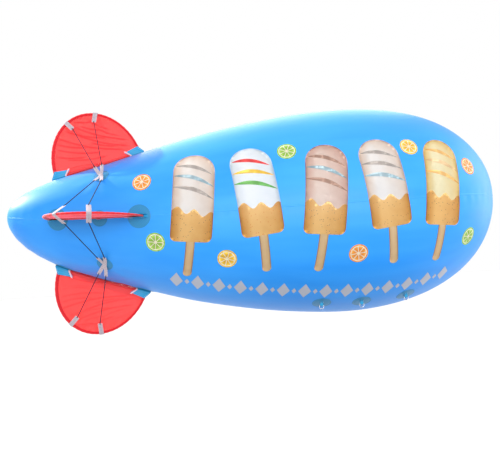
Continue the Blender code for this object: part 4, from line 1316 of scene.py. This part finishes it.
def box_piece(name, low, high, finish, edge=0.0006):
    """A box with bevelled edges, its corners given round the balloon, ahead and out from the valve."""
    verts = [valve_centre + valve_up * u + valve_ahead * a + valve_out * h
             for u in (low[0], high[0]) for a in (low[1], high[1]) for h in (low[2], high[2])]
    made = object_from(name, verts, [(0, 1, 3, 2), (4, 6, 7, 5), (0, 4, 5, 1), (2, 3, 7, 6), (0, 2, 6, 4),
                                     (1, 5, 7, 3)], finish)
    soften = made.modifiers.new("edges", "BEVEL")
    soften.width, soften.segments = edge, 2
    return plain_copy(made, name)


print("valve at", [round(x, 3) for x in valve_centre])

# %% [markdown]
# The neck, its two hinge ears and the pin are one moulding, which stays on the balloon. The cap, its tongue
# and its knuckle are the other, and turn on the pin. The cap's rim has grip ribs, set by the grain tree.

# %% Filler valve and cap
neck = turned_ring("neck", [
    (BORE_RADIUS, -NECK_DEEP), (NECK_RADIUS, -NECK_DEEP), (NECK_RADIUS, FLANGE_LIFT),
    (FLANGE_RADIUS - 0.0008, FLANGE_LIFT), (FLANGE_RADIUS, FLANGE_LIFT + 0.0008),
    (FLANGE_RADIUS - 0.001, FLANGE_LIFT + FLANGE_THICK - 0.001), (0.043, FLANGE_LIFT + FLANGE_THICK),
    (0.042, FLANGE_LIFT + FLANGE_THICK - 0.0008), (0.040, FLANGE_LIFT + FLANGE_THICK - 0.0008),
    (0.039, FLANGE_LIFT + FLANGE_THICK), (NECK_RADIUS + 0.003, FLANGE_LIFT + FLANGE_THICK + 0.0004),
    (NECK_RADIUS, FLANGE_LIFT + FLANGE_THICK + 0.003), (NECK_RADIUS, NECK_TOP - LIP_THICK),
    (LIP_RADIUS - 0.0008, NECK_TOP - LIP_THICK), (LIP_RADIUS, NECK_TOP - LIP_THICK + 0.0008),
    (LIP_RADIUS, NECK_TOP - 0.0012), (LIP_RADIUS - 0.0012, NECK_TOP), (BORE_RADIUS + 0.0008, NECK_TOP),
    (BORE_RADIUS, NECK_TOP - 0.0008)], PLASTIC)
ears = []
for near, far in ((-EAR_HALF, -KNUCKLE_HALF - EAR_GAP), (KNUCKLE_HALF + EAR_GAP, EAR_HALF)):
    ears.append(box_piece("ear_foot", (NECK_RADIUS - 0.001, near, EAR_FOOT[0]),
                          (HINGE_OUT + EAR_PAST, far, EAR_FOOT[1]), PLASTIC))
    ears.append(box_piece("ear_post", (HINGE_OUT - 0.003, near, EAR_POST[0]),
                          (HINGE_OUT + 0.0026, far, EAR_POST[1]), PLASTIC))
hinge = valve_centre + valve_up * HINGE_OUT + valve_out * HINGE_UP
pin = bar("pin", [hinge - valve_ahead * EAR_HALF, hinge + valve_ahead * EAR_HALF], PIN_RADIUS, 20, PLASTIC)
dress(joined("valve_neck_moulding", [neck] + ears + [pin]), "hull", "valve", "valve_neck")

cap_top = CAP_UNDER + CAP_THICK
cap = turned_ring("cap", [
    (0.0001, CAP_UNDER - PLUG_DEEP), (PLUG_RADIUS - 0.001, CAP_UNDER - PLUG_DEEP),
    (PLUG_RADIUS, CAP_UNDER - PLUG_DEEP + 0.001), (PLUG_RADIUS, CAP_UNDER),
    (CAP_RADIUS - 0.0006, CAP_UNDER), (CAP_RADIUS, CAP_UNDER + 0.0006),
    (CAP_RADIUS, cap_top - 0.0012), (CAP_RADIUS - 0.0012, cap_top), (0.024, cap_top),
    (0.0225, cap_top - 0.0008), (0.012, cap_top - 0.0008), (0.011, cap_top), (0.0001, cap_top)], PLASTIC)
tongue = box_piece("tongue", (0.024, -KNUCKLE_HALF + 0.001, CAP_UNDER + 0.0003),
                   (HINGE_OUT - PIN_RADIUS - 0.0007, KNUCKLE_HALF - 0.001, cap_top - 0.0003), PLASTIC)
knuckle_rings = []
for step in range(24):
    way = valve_up * cos(tau * step / 24) + valve_out * sin(tau * step / 24)
    knuckle_rings.append([hinge + way * r + valve_ahead * a for r, a in (
        (PIN_RADIUS + 0.0004, -KNUCKLE_HALF), (KNUCKLE_RADIUS, -KNUCKLE_HALF), (KNUCKLE_RADIUS, KNUCKLE_HALF),
        (PIN_RADIUS + 0.0004, KNUCKLE_HALF))])
knuckle = loft("knuckle", knuckle_rings, PLASTIC, closed=True)
dress(joined("valve_cap_moulding", [cap, tongue, knuckle]), "cap", "valve", "valve_cap")
rim = []
for step in range(CAP_RIBS + 1):
    angle = pi * 0.62 + (tau - pi * 0.24) * step / CAP_RIBS
    way = valve_ahead * cos(angle) + valve_up * sin(angle)
    rim.append((valve_centre + way * CAP_RADIUS + valve_out * (CAP_UNDER + CAP_THICK / 2), way))
dress(run_tree(path_object([rim]), GRAINS, "valve_cap_ribs", pitch=CAP_RIB_PITCH, size=CAP_RIB,
               material=PLASTIC), "cap", "valve")

# %% [markdown]
# A round patch closes the gores where they meet at the nose. It is made of the envelope's own film, so it
# only shows as a faint ring. Near the tip the skin is a paraboloid, so the station falls with the square of
# the distance from the tip.

# %% Nose patch
NOSE_RADIUS = 0.070


def round_the_tip(u, v):
    """Station and azimuth of a spot of the nose patch."""
    short = (hypot(u, v) / LENGTH) ** 2 / (PROFILE_TAIL + PROFILE_NOSE)
    return 1 - short, atan2(v, u) * 180 / pi


dress(welded_disc("nose_disc", NOSE_RADIUS, round_the_tip, FILM_WELD), "hull", "patch", "nose_patch")

# %% [markdown]
# Both flanks are printed at the same scale as on the real balloon, with a design made for this lesson: five
# big ice lollies, slices of fruit between them and a row of plain lozenges below. Each ink has three tones,
# for its edge, its middle and its light, and mixes them by the number shade on each point of the print.

# %% Inks


def ink(name, edge, middle, light):
    """Gravure ink: glossy like the film, a little mottled, darker where shade is low."""
    finish, tree, shader = new_finish(name, middle, roughness=0.36, specular_ior_level=0.3)
    shade = add(tree, "ShaderNodeAttribute", attribute_name="shade").outputs["Fac"]
    uv = add(tree, "ShaderNodeTexCoord").outputs["UV"]
    mottle = add(tree, "ShaderNodeTexNoise", {"Vector": uv, "Scale": 16.0, "Detail": 3.0}).outputs[0]
    both = add(tree, "ShaderNodeMath", {0: mottle, 1: 0.30, 2: -0.15}, operation="MULTIPLY_ADD").outputs[0]
    share = add(tree, "ShaderNodeMath", {0: shade, 1: both}, operation="ADD", use_clamp=True).outputs[0]
    ramp = add(tree, "ShaderNodeValToRGB", {"Fac": share})
    ramp.color_ramp.elements[0].position, ramp.color_ramp.elements[0].color = 0.05, colour(edge)
    ramp.color_ramp.elements[1].position, ramp.color_ramp.elements[1].color = 0.95, colour(light)
    ramp.color_ramp.elements.new(0.45).color = colour(middle)
    tree.links.new(ramp.outputs["Color"], shader.inputs["Base Color"])
    return finish


INKS = {name: ink(f"{name}_ink", *codes) for name, codes in {
    "cream": ("C2A28E", "EBD8CA", "FAF2EA"), "white": ("B4C6D2", "EDF0F0", "FDFDFB"),
    "rose": ("A97F73", "DDB9AB", "F2DCD0"), "straw": ("C99A4C", "EFD392", "FBEFCB"),
    "gold": ("A9692A", "DCA353", "F3CB85"), "wood": ("A9794A", "DDB582", "EFD3A8"),
    "taupe": ("8D8583", "A79D99", "BDB3AD"), "slate": ("6F93A4", "8FB0BE", "B4CBD4"),
    "cocoa": ("7C5648", "A07A6A", "BD9A8A"), "red": ("B01520", "DA2A33", "EE5A58"),
    "yellow": ("D69A1C", "F1C42F", "FADB66"), "green": ("357F38", "55A84C", "83C46F"),
    "orange": ("DB7519", "F29A33", "F9BB62"), "lime": ("6FA52F", "9CCB45", "BFE077"),
    "pith": ("E9D9B0", "FAF1D8", "FFFBEF"), "grey": ("A9ADB9", "B9BCC6", "C9CCD4")}.items()}
print("inks:", len(INKS))

# %% [markdown]
# Ink has no thickness that shows, so each colour is a skin 0.15 mm thick laid on the film. `print_on` cuts a
# flat outline into small cells, as tile makers do, so that it can bend with the film. The number shade is
# low at a motif's edge, so the ink makes it look round. A Shrinkwrap modifier would lay the outline on the
# film too, but it would pull its outline in at the steep sides.

# %% Lay an outline on the film
CELL = 0.021
INK_LIFT, INK_LAYER, INK_THICK = 0.0011, 0.00026, 0.00015    # the lift clears the weld bands


def print_on(name, outline, place, layer, finish, shade):
    """A thin closed skin of ink. place is station, azimuth, lean in degrees and 1 or -1 for up or down."""
    station, azimuth, lean, upward = place
    shape = bmesh.new()
    shape.faces.new([shape.verts.new((x, y, 0)) for x, y in outline])
    for axis in (0, 1):
        spots = [point[axis] for point in outline]
        for line in range(ceil(min(spots) / CELL), ceil(max(spots) / CELL)):
            across = Vector((1 - axis, axis, 0))
            bmesh.ops.bisect_plane(shape, geom=shape.verts[:] + shape.edges[:] + shape.faces[:],
                                   plane_co=across * line * CELL, plane_no=across)
    grown = bmesh.ops.extrude_face_region(shape, geom=shape.faces[:], use_keep_orig=True)["geom"]
    raised = {item for item in grown if isinstance(item, bmesh.types.BMVert)}
    number = shape.verts.layers.float.new("shade")
    uv = shape.loops.layers.uv.new("UVMap")
    for face in shape.faces:
        for loop in face.loops:
            loop[uv].uv = loop.vert.co.xy
    tilt = radians(lean)
    for corner in shape.verts:
        x, y = corner.co.x, corner.co.y
        corner[number] = shade(x, y)
        ahead, above = x * cos(tilt) + y * sin(tilt), y * cos(tilt) - x * sin(tilt)
        corner.co = skin(*beside(station, azimuth, ahead, above * upward),
                         INK_LIFT + INK_LAYER * layer + (INK_THICK if corner in raised else 0))
    bmesh.ops.recalc_face_normals(shape, faces=shape.faces)
    mesh = bpy.data.meshes.new(name)
    shape.to_mesh(mesh)
    shape.free()
    mesh.materials.append(finish)
    mesh.shade_smooth()
    mesh.set_sharp_from_angle(angle=radians(40))
    made = bpy.data.objects.new(name, mesh)
    bpy.context.scene.collection.objects.link(made)
    return made


def bow(x, y, wide, tall, begin, end, steps):
    """Points along part of an ellipse, angles in turns of pi."""
    return [(x + wide * cos(pi * (begin + (end - begin) * k / steps)),
             y + tall * sin(pi * (begin + (end - begin) * k / steps))) for k in range(steps + 1)]


def crescent(middle, tall, slope, reach, bend):
    """A curved stripe, thick in its middle and pointed at its ends."""
    top, foot = [], []
    for k in range(17):
        x = reach * (k / 8 - 1)
        line = middle + slope * x + bend * cos(pi / 2 * x / reach)
        half = tall / 2 * (1 - (x / reach) ** 2) + 0.0015
        top.append((x, line + half))
        foot.append((x, line - half))
    return foot + top[::-1]


print("an outline is cut into cells of", CELL * 1000, "mm")

# %% [markdown]
# Chopped nuts are small flat flecks. Geometry Nodes scatter them on the faces that they are given, each
# turned at random about the way out of its face, and a seed keeps them the same each time.

# %% Chopped nuts
SPRINKLE, given, result = new_tree("sprinkles_on_faces", [
    ("Density", "NodeSocketFloat", 600.0), ("Seed", "NodeSocketInt", 3),
    ("Size", "NodeSocketVector", (0.009, 0.004, 0.0008)), ("Material", "NodeSocketMaterial", None)])
spots = add(SPRINKLE, "GeometryNodeDistributePointsOnFaces", {
    "Mesh": given["Geometry"], "Density": given["Density"], "Seed": given["Seed"]})
spin = add(SPRINKLE, "FunctionNodeRandomValue", {"Max": tau, "Seed": given["Seed"]}).outputs[1]
turn = add(SPRINKLE, "ShaderNodeCombineXYZ", {"Z": spin}).outputs[0]
facing = add(SPRINKLE, "FunctionNodeRotateRotation", {
    "Rotation": spots.outputs["Rotation"], "Rotate By": turn}, rotation_space="LOCAL").outputs[0]
fleck = add(SPRINKLE, "GeometryNodeMeshIcoSphere", {"Radius": 0.5, "Subdivisions": 1}).outputs["Mesh"]
rows = add(SPRINKLE, "GeometryNodeInstanceOnPoints", {
    "Points": spots.outputs["Points"], "Instance": fleck, "Rotation": facing,
    "Scale": given["Size"]}).outputs[0]
real = add(SPRINKLE, "GeometryNodeRealizeInstances", {"Geometry": rows}).outputs[0]
done = add(SPRINKLE, "GeometryNodeSetMaterial", {"Geometry": real, "Material": given["Material"]}).outputs[0]
SPRINKLE.links.new(done, result.inputs[0])
print("tree:", SPRINKLE.name)

# %% [markdown]
# A lolly is a rounded block on a stick, dipped in a golden coat with a wavy edge. Soft ripples or bright
# bands cross its cream. All of it comes from a short table: where each stands, how it leans and which inks
# it has. Its coat is strewn with the chopped nuts, on its outer faces alone.

# %% Print the lollies
LOLLY_HALF, LOLLY_TOP, LOLLY_FOOT, LOLLY_CORNER, LOLLY_CROWN = 0.155, 0.485, -0.215, 0.045, 0.165
STICK_HALF, STICK_FOOT = 0.033, -0.510
COAT_LINE, COAT_WAVE, COAT_WAVES, COAT_TILT = 0.005, 0.022, 2.5, -0.02
RIPPLE_TOP, RIPPLE_PITCH, RIPPLE_TALL, RIPPLE_BEND = 0.335, 0.095, 0.030, 0.030
RIPPLE_REACH = (0.86, 0.94, 0.97)      # shares of the lolly's half width, from the top one down
RIPPLE_SLOPE, YELLOW_SLOPE = -0.28, -0.20
GLINT_AT, GLINT_WIDE = -0.055, 0.045
LOLLIES = (
    # station, height up the flank, lean, cream, ripples, nuts
    (0.353, 0.000, 6, "cream", ("taupe", "slate", "taupe"), "cocoa"),
    (0.4725, 0.015, -6, "white", ("red", "yellow", "green"), "orange"),
    (0.592, -0.010, 6, "rose", ("cocoa", "slate", "cocoa"), "cocoa"),
    (0.709, 0.010, -6, "cream", ("taupe", "taupe", "slate"), "wood"),
    (0.8215, -0.005, 5, "straw", ("gold", "wood", "gold"), "cocoa"))
FLANKS = {"starboard": (0, 1), "port": (180, -1)}


def lolly_shade(x, y):
    """Low at the lolly's sides and top, high a little left of its middle."""
    crown = LOLLY_TOP - LOLLY_CROWN
    side = abs(x) if y < crown else hypot(x, (y - crown) * LOLLY_HALF / LOLLY_CROWN)
    round_off = sqrt(max(0.0, 1 - (side / LOLLY_HALF) ** 2))
    return 0.82 * round_off + 0.30 * exp(-((x - GLINT_AT) / GLINT_WIDE) ** 2) * round_off


def lolly_foot():
    """The two rounded corners at the lower end."""
    left, right, low = -LOLLY_HALF + LOLLY_CORNER, LOLLY_HALF - LOLLY_CORNER, LOLLY_FOOT + LOLLY_CORNER
    return bow(left, low, LOLLY_CORNER, LOLLY_CORNER, 1, 1.5, 6) \
        + bow(right, low, LOLLY_CORNER, LOLLY_CORNER, 1.5, 2, 6)


def coat_outline():
    line = []
    for k in range(25):
        x = LOLLY_HALF * (1 - k / 12)
        wave = COAT_WAVE * sin(COAT_WAVES * pi * x / LOLLY_HALF + 0.8)
        line.append((x, COAT_LINE + wave + COAT_TILT * x / LOLLY_HALF))
    return line + lolly_foot()


def body_outline():
    return bow(0, LOLLY_TOP - LOLLY_CROWN, LOLLY_HALF, LOLLY_CROWN, 0, 1, 22) + lolly_foot()


def stick_outline():
    return bow(0, STICK_FOOT + STICK_HALF, STICK_HALF, STICK_HALF, 1, 2, 10) \
        + [(STICK_HALF, LOLLY_FOOT + 0.01), (-STICK_HALF, LOLLY_FOOT + 0.01)]


def nut_ground(piece):
    """The coat's outer faces alone, for the nuts to land on."""
    mesh = bpy.data.meshes.new("nut_ground")
    top = []
    for face in piece.data.polygons:
        x = face.center.x
        if face.normal.dot(face.center - Vector((x, 0, -droop(x / LENGTH + 0.5)[0]))) > 0:
            top.append(face)
    mesh.from_pydata([tuple(v.co) for v in piece.data.vertices], [], [tuple(face.vertices) for face in top])
    made = bpy.data.objects.new("nut_ground", mesh)
    bpy.context.scene.collection.objects.link(made)
    return made


for flank, (azimuth, upward) in FLANKS.items():
    for number, (station, above, lean, cream, ripples, nuts) in enumerate(LOLLIES, 1):
        place = (*beside(station, azimuth, 0, above * upward), lean, upward)
        layers = [print_on("stick", stick_outline(), place, 0, INKS["wood"],
                           lambda x, y: 0.9 * sqrt(max(0.0, 1 - (x / STICK_HALF) ** 2))),
                  print_on("body", body_outline(), place, 0, INKS[cream], lolly_shade)]
        coat = print_on("coat", coat_outline(), place, 1, INKS["gold"], lolly_shade)
        for step, tone in enumerate(ripples):
            slope = RIPPLE_SLOPE if tone != "yellow" else YELLOW_SLOPE
            stripe = crescent(RIPPLE_TOP - RIPPLE_PITCH * step, RIPPLE_TALL, slope,
                              LOLLY_HALF * RIPPLE_REACH[step], RIPPLE_BEND)
            layers.append(print_on("ripple", stripe, place, 1, INKS[tone], lolly_shade))
        nut_bits = run_tree(nut_ground(coat), SPRINKLE, "nuts", seed=number, material=INKS[nuts])
        dress(joined(f"print_{flank}_lolly_{number}", layers + [coat]), "hull", "envelope")
        dress(joined(f"print_{flank}_nuts_{number}", [nut_bits]), "hull", "envelope")

# %% [markdown]
# Slices of fruit fill the gaps. A slice is three layers of ink: a disc of rind, a smaller disc of pith, and
# eight wedges of flesh with rounded ends. Each is turned a little further than the last.

# %% Print the fruit
SLICE_RADIUS, PITH_SHARE, WEDGES = 0.072, 0.86, 8
WEDGE_SHARE, FLESH_OUT, FLESH_IN = 0.82, 0.76, 0.16
SLICE_TURN = 12
FRUIT = (
    # station, height up the flank, rind and flesh
    (0.265, 0.270, "orange"), (0.285, -0.200, "lime"), (0.413, -0.365, "yellow"), (0.5325, 0.440, "lime"),
    (0.6515, -0.390, "orange"), (0.765, 0.410, "yellow"), (0.884, -0.330, "lime"), (0.892, 0.230, "orange"))


def wedge(step):
    """One flesh segment of a slice, its corners rounded off."""
    middle, half = step * 2 / WEDGES, WEDGE_SHARE / WEDGES
    far, near = SLICE_RADIUS * FLESH_OUT, SLICE_RADIUS * FLESH_IN
    outer = bow(0, 0, far, far, middle - half, middle + half, 6)
    return outer + bow(0, 0, near, near, middle + half / 2, middle - half / 2, 2)


for flank, (azimuth, upward) in FLANKS.items():
    for number, (station, above, tone) in enumerate(FRUIT, 1):
        place = (*beside(station, azimuth, 0, above * upward), SLICE_TURN * number, upward)
        disc = [(x * SLICE_RADIUS, y * SLICE_RADIUS) for x, y in bow(0, 0, 1, 1, 0, 2 - 1 / 20, 39)]
        layers = [print_on("rind", disc, place, 0, INKS[tone], lambda x, y: 0.45),
                  print_on("pith", [(x * PITH_SHARE, y * PITH_SHARE) for x, y in disc], place, 1,
                           INKS["pith"], lambda x, y: 0.7)]
        layers += [print_on("flesh", wedge(step), place, 2, INKS[tone],
                            lambda x, y: 0.35 + 0.5 * hypot(x, y) / SLICE_RADIUS) for step in range(WEDGES)]
        dress(joined(f"print_{flank}_fruit_{number}", layers), "hull", "envelope")

# %% [markdown]
# A row of lozenges runs low along each flank. Here a tree both sets them along a line and bends them: each
# is a thin box of small cells, turned on its corner, and once placed every point is moved to the nearest
# place on the film, at its own height above it.

# %% Print the row of lozenges
ROW_ENDS, ROW_BELOW, ROW_STEPS = (0.321, 0.841), 51, 60
SMALLER = -0.62            # every other lozenge is smaller by this share
LOZENGE_PITCH, LOZENGE = 0.080, (0.100, 0.165, 0.001)

ROW, given, result = new_tree("lozenges_on_film", [
    ("Film", "NodeSocketObject", None), ("Pitch", "NodeSocketFloat", LOZENGE_PITCH),
    ("Size", "NodeSocketVector", LOZENGE), ("Lift", "NodeSocketFloat", INK_LIFT),
    ("Thick", "NodeSocketFloat", INK_THICK), ("Material", "NodeSocketMaterial", None)])
line = add(ROW, "GeometryNodeMeshToCurve", {"Mesh": given["Geometry"]}).outputs[0]
steps = add(ROW, "GeometryNodeResampleCurve", {"Curve": line, "Length": given["Pitch"]},
            mode="LENGTH").outputs[0]
along = add(ROW, "GeometryNodeInputTangent").outputs[0]
out = add(ROW, "GeometryNodeInputNamedAttribute", {"Name": "out"}, data_type="FLOAT_VECTOR").outputs[0]
facing = add(ROW, "FunctionNodeAlignRotationToVector", {"Vector": out}, axis="Z").outputs[0]
turned = add(ROW, "FunctionNodeAlignRotationToVector", {"Rotation": facing, "Vector": along},
             axis="X", pivot_axis="Z").outputs[0]
box = add(ROW, "GeometryNodeMeshCube", {"Size": (0.7071, 0.7071, 1.0), "Vertices X": 10, "Vertices Y": 10,
                                        "Vertices Z": 2}).outputs["Mesh"]
corner = add(ROW, "GeometryNodeTransform", {"Geometry": box, "Rotation": (0, 0, pi / 4)}).outputs[0]
where = add(ROW, "GeometryNodeInputPosition").outputs[0]
high = add(ROW, "ShaderNodeSeparateXYZ", {"Vector": where}).outputs["Z"]
kept = add(ROW, "GeometryNodeStoreNamedAttribute", {"Geometry": corner, "Name": "height", "Value": high},
           data_type="FLOAT", domain="POINT").outputs[0]
index = add(ROW, "GeometryNodeInputIndex").outputs[0]
odd = add(ROW, "ShaderNodeMath", {0: index, 1: 2.0}, operation="MODULO").outputs[0]
share = add(ROW, "ShaderNodeMath", {0: odd, 1: SMALLER, 2: 1.0}, operation="MULTIPLY_ADD").outputs[0]
size = add(ROW, "ShaderNodeVectorMath", {0: given["Size"], "Scale": share}, operation="SCALE").outputs[0]
placed = add(ROW, "GeometryNodeInstanceOnPoints", {"Points": steps, "Instance": kept, "Rotation": turned,
                                                   "Scale": size}).outputs[0]
real = add(ROW, "GeometryNodeRealizeInstances", {"Geometry": placed}).outputs[0]
skin_mesh = add(ROW, "GeometryNodeObjectInfo", {"Object": given["Film"]}).outputs["Geometry"]
nearest = add(ROW, "GeometryNodeProximity", {0: skin_mesh}, target_element="FACES").outputs["Position"]
normal = add(ROW, "GeometryNodeInputNormal").outputs[0]
facing = add(ROW, "GeometryNodeSampleNearestSurface", {"Mesh": skin_mesh, "Value": normal},
             data_type="FLOAT_VECTOR").outputs["Value"]
stored = add(ROW, "GeometryNodeInputNamedAttribute", {"Name": "height"}, data_type="FLOAT").outputs[0]
above = add(ROW, "ShaderNodeMath", {0: stored, 1: 0.5}, operation="ADD").outputs[0]
height = add(ROW, "ShaderNodeMath", {0: above, 1: given["Thick"], 2: given["Lift"]},
             operation="MULTIPLY_ADD").outputs[0]
shift = add(ROW, "ShaderNodeVectorMath", {0: facing, "Scale": height}, operation="SCALE").outputs[0]
spot = add(ROW, "ShaderNodeVectorMath", {0: nearest, 1: shift}, operation="ADD").outputs[0]
bent = add(ROW, "GeometryNodeSetPosition", {"Geometry": real, "Position": spot}).outputs[0]
done = add(ROW, "GeometryNodeSetMaterial", {"Geometry": bent, "Material": given["Material"]}).outputs[0]
ROW.links.new(done, result.inputs[0])

for flank, (azimuth, upward) in FLANKS.items():
    run, line_at = [], azimuth - upward * ROW_BELOW
    for step in range(ROW_STEPS + 1):
        station = ROW_ENDS[0] + (ROW_ENDS[1] - ROW_ENDS[0]) * step / ROW_STEPS
        run.append((skin(station, line_at), bare_skin(station, line_at)[1]))
    made = run_tree(path_object([run]), ROW, f"print_{flank}_lozenges", film=envelope, material=INKS["grey"])
    dress(made, "hull", "envelope")

# %% [markdown]
# The real balloon was photographed in low sunlight from behind its tail, under a bright sky, and the sun
# shines through the cloth of its fins. The studio has the same directions: a white room, a small sun, and
# wide softboxes in front, behind and off the nose. The floor lies well below, because the blimp flies. A
# painted shadow darkens it under the balloon, so that it doesn't throw as much light up at the belly.

# %% Stage and light
FLOOR_DOWN = 2.2
FLOOR_SIZE = 120
FLOOR_SHADOW_AT = (0.3, -2.2, 0.0)      # the middle of its painted shadow
# the painted shadow fades out between these distances from its middle
FLOOR_NEAR, FLOOR_FAR = 1.6, 3.0
SUN_AZIMUTH, SUN_HEIGHT = radians(36), radians(34)    # from the tail end towards the far side, and up
SUN_POWER, SUN_WIDTH = 6.5, radians(1.2)
SOFTBOXES = {
    # where it stands, what it faces, watts, width and height
    "front_softbox": ((0.6, -6.2, 0.6), (0.2, 0, 0), 270, 6.0, 2.5),
    "nose_softbox": ((5.6, 0.2, 0.8), (1.7, -0.2, 0.0), 100, 3.0, 4.0),
    "sky_softbox": ((-0.3, 4.8, 4.4), (0, 0, 0.4), 320, 9.0, 4.0)}

bpy.ops.mesh.primitive_plane_add(size=FLOOR_SIZE, location=(0, 0, -FLOOR_DOWN))
floor = bpy.context.object
floor.name = "floor"
floor_finish, tree, shader = new_finish("pale_floor", "BCBCBC", roughness=0.9)
# a painted shadow under the balloon: dark in its middle, pale farther out
place = add(tree, "ShaderNodeTexCoord").outputs["Object"]
away = add(tree, "ShaderNodeVectorMath", {0: place, 1: FLOOR_SHADOW_AT}, operation="DISTANCE").outputs["Value"]
fade = add(tree, "ShaderNodeMapRange", {"Value": away, "From Min": FLOOR_NEAR, "From Max": FLOOR_FAR})
ramp = add(tree, "ShaderNodeValToRGB", {"Fac": fade.outputs[0]})
ramp.color_ramp.elements[0].color, ramp.color_ramp.elements[1].color = colour("505050"), colour("B8B8B8")
tree.links.new(ramp.outputs["Color"], shader.inputs["Base Color"])
floor.data.materials.append(floor_finish)


def lamp(name, kind, place, target, **numbers):
    light = bpy.data.lights.new(name, kind)
    for label, value in numbers.items():
        setattr(light, label, value)
    made = bpy.data.objects.new(name, light)
    made.location = place
    made.rotation_euler = (Vector(target) - Vector(place)).to_track_quat("-Z", "Y").to_euler()
    bpy.context.scene.collection.objects.link(made)


towards_sun = Vector((-cos(SUN_AZIMUTH) * cos(SUN_HEIGHT), sin(SUN_AZIMUTH) * cos(SUN_HEIGHT),
                      sin(SUN_HEIGHT)))
lamp("low_sun", "SUN", towards_sun * 9, (0, 0, 0), energy=SUN_POWER, angle=SUN_WIDTH)
for name, (place, target, watts, wide, tall) in SOFTBOXES.items():
    lamp(name, "AREA", place, target, energy=watts, shape="RECTANGLE", size=wide, size_y=tall)
world = bpy.data.worlds.new("white_room")
world.use_nodes = True
world.node_tree.nodes["Background"].inputs["Color"].default_value = (1, 1, 1, 1)
world.node_tree.nodes["Background"].inputs["Strength"].default_value = 1.0
bpy.context.scene.world = world
bpy.context.scene.view_settings.view_transform = "Standard"
print("lights:", 1 + len(SOFTBOXES))
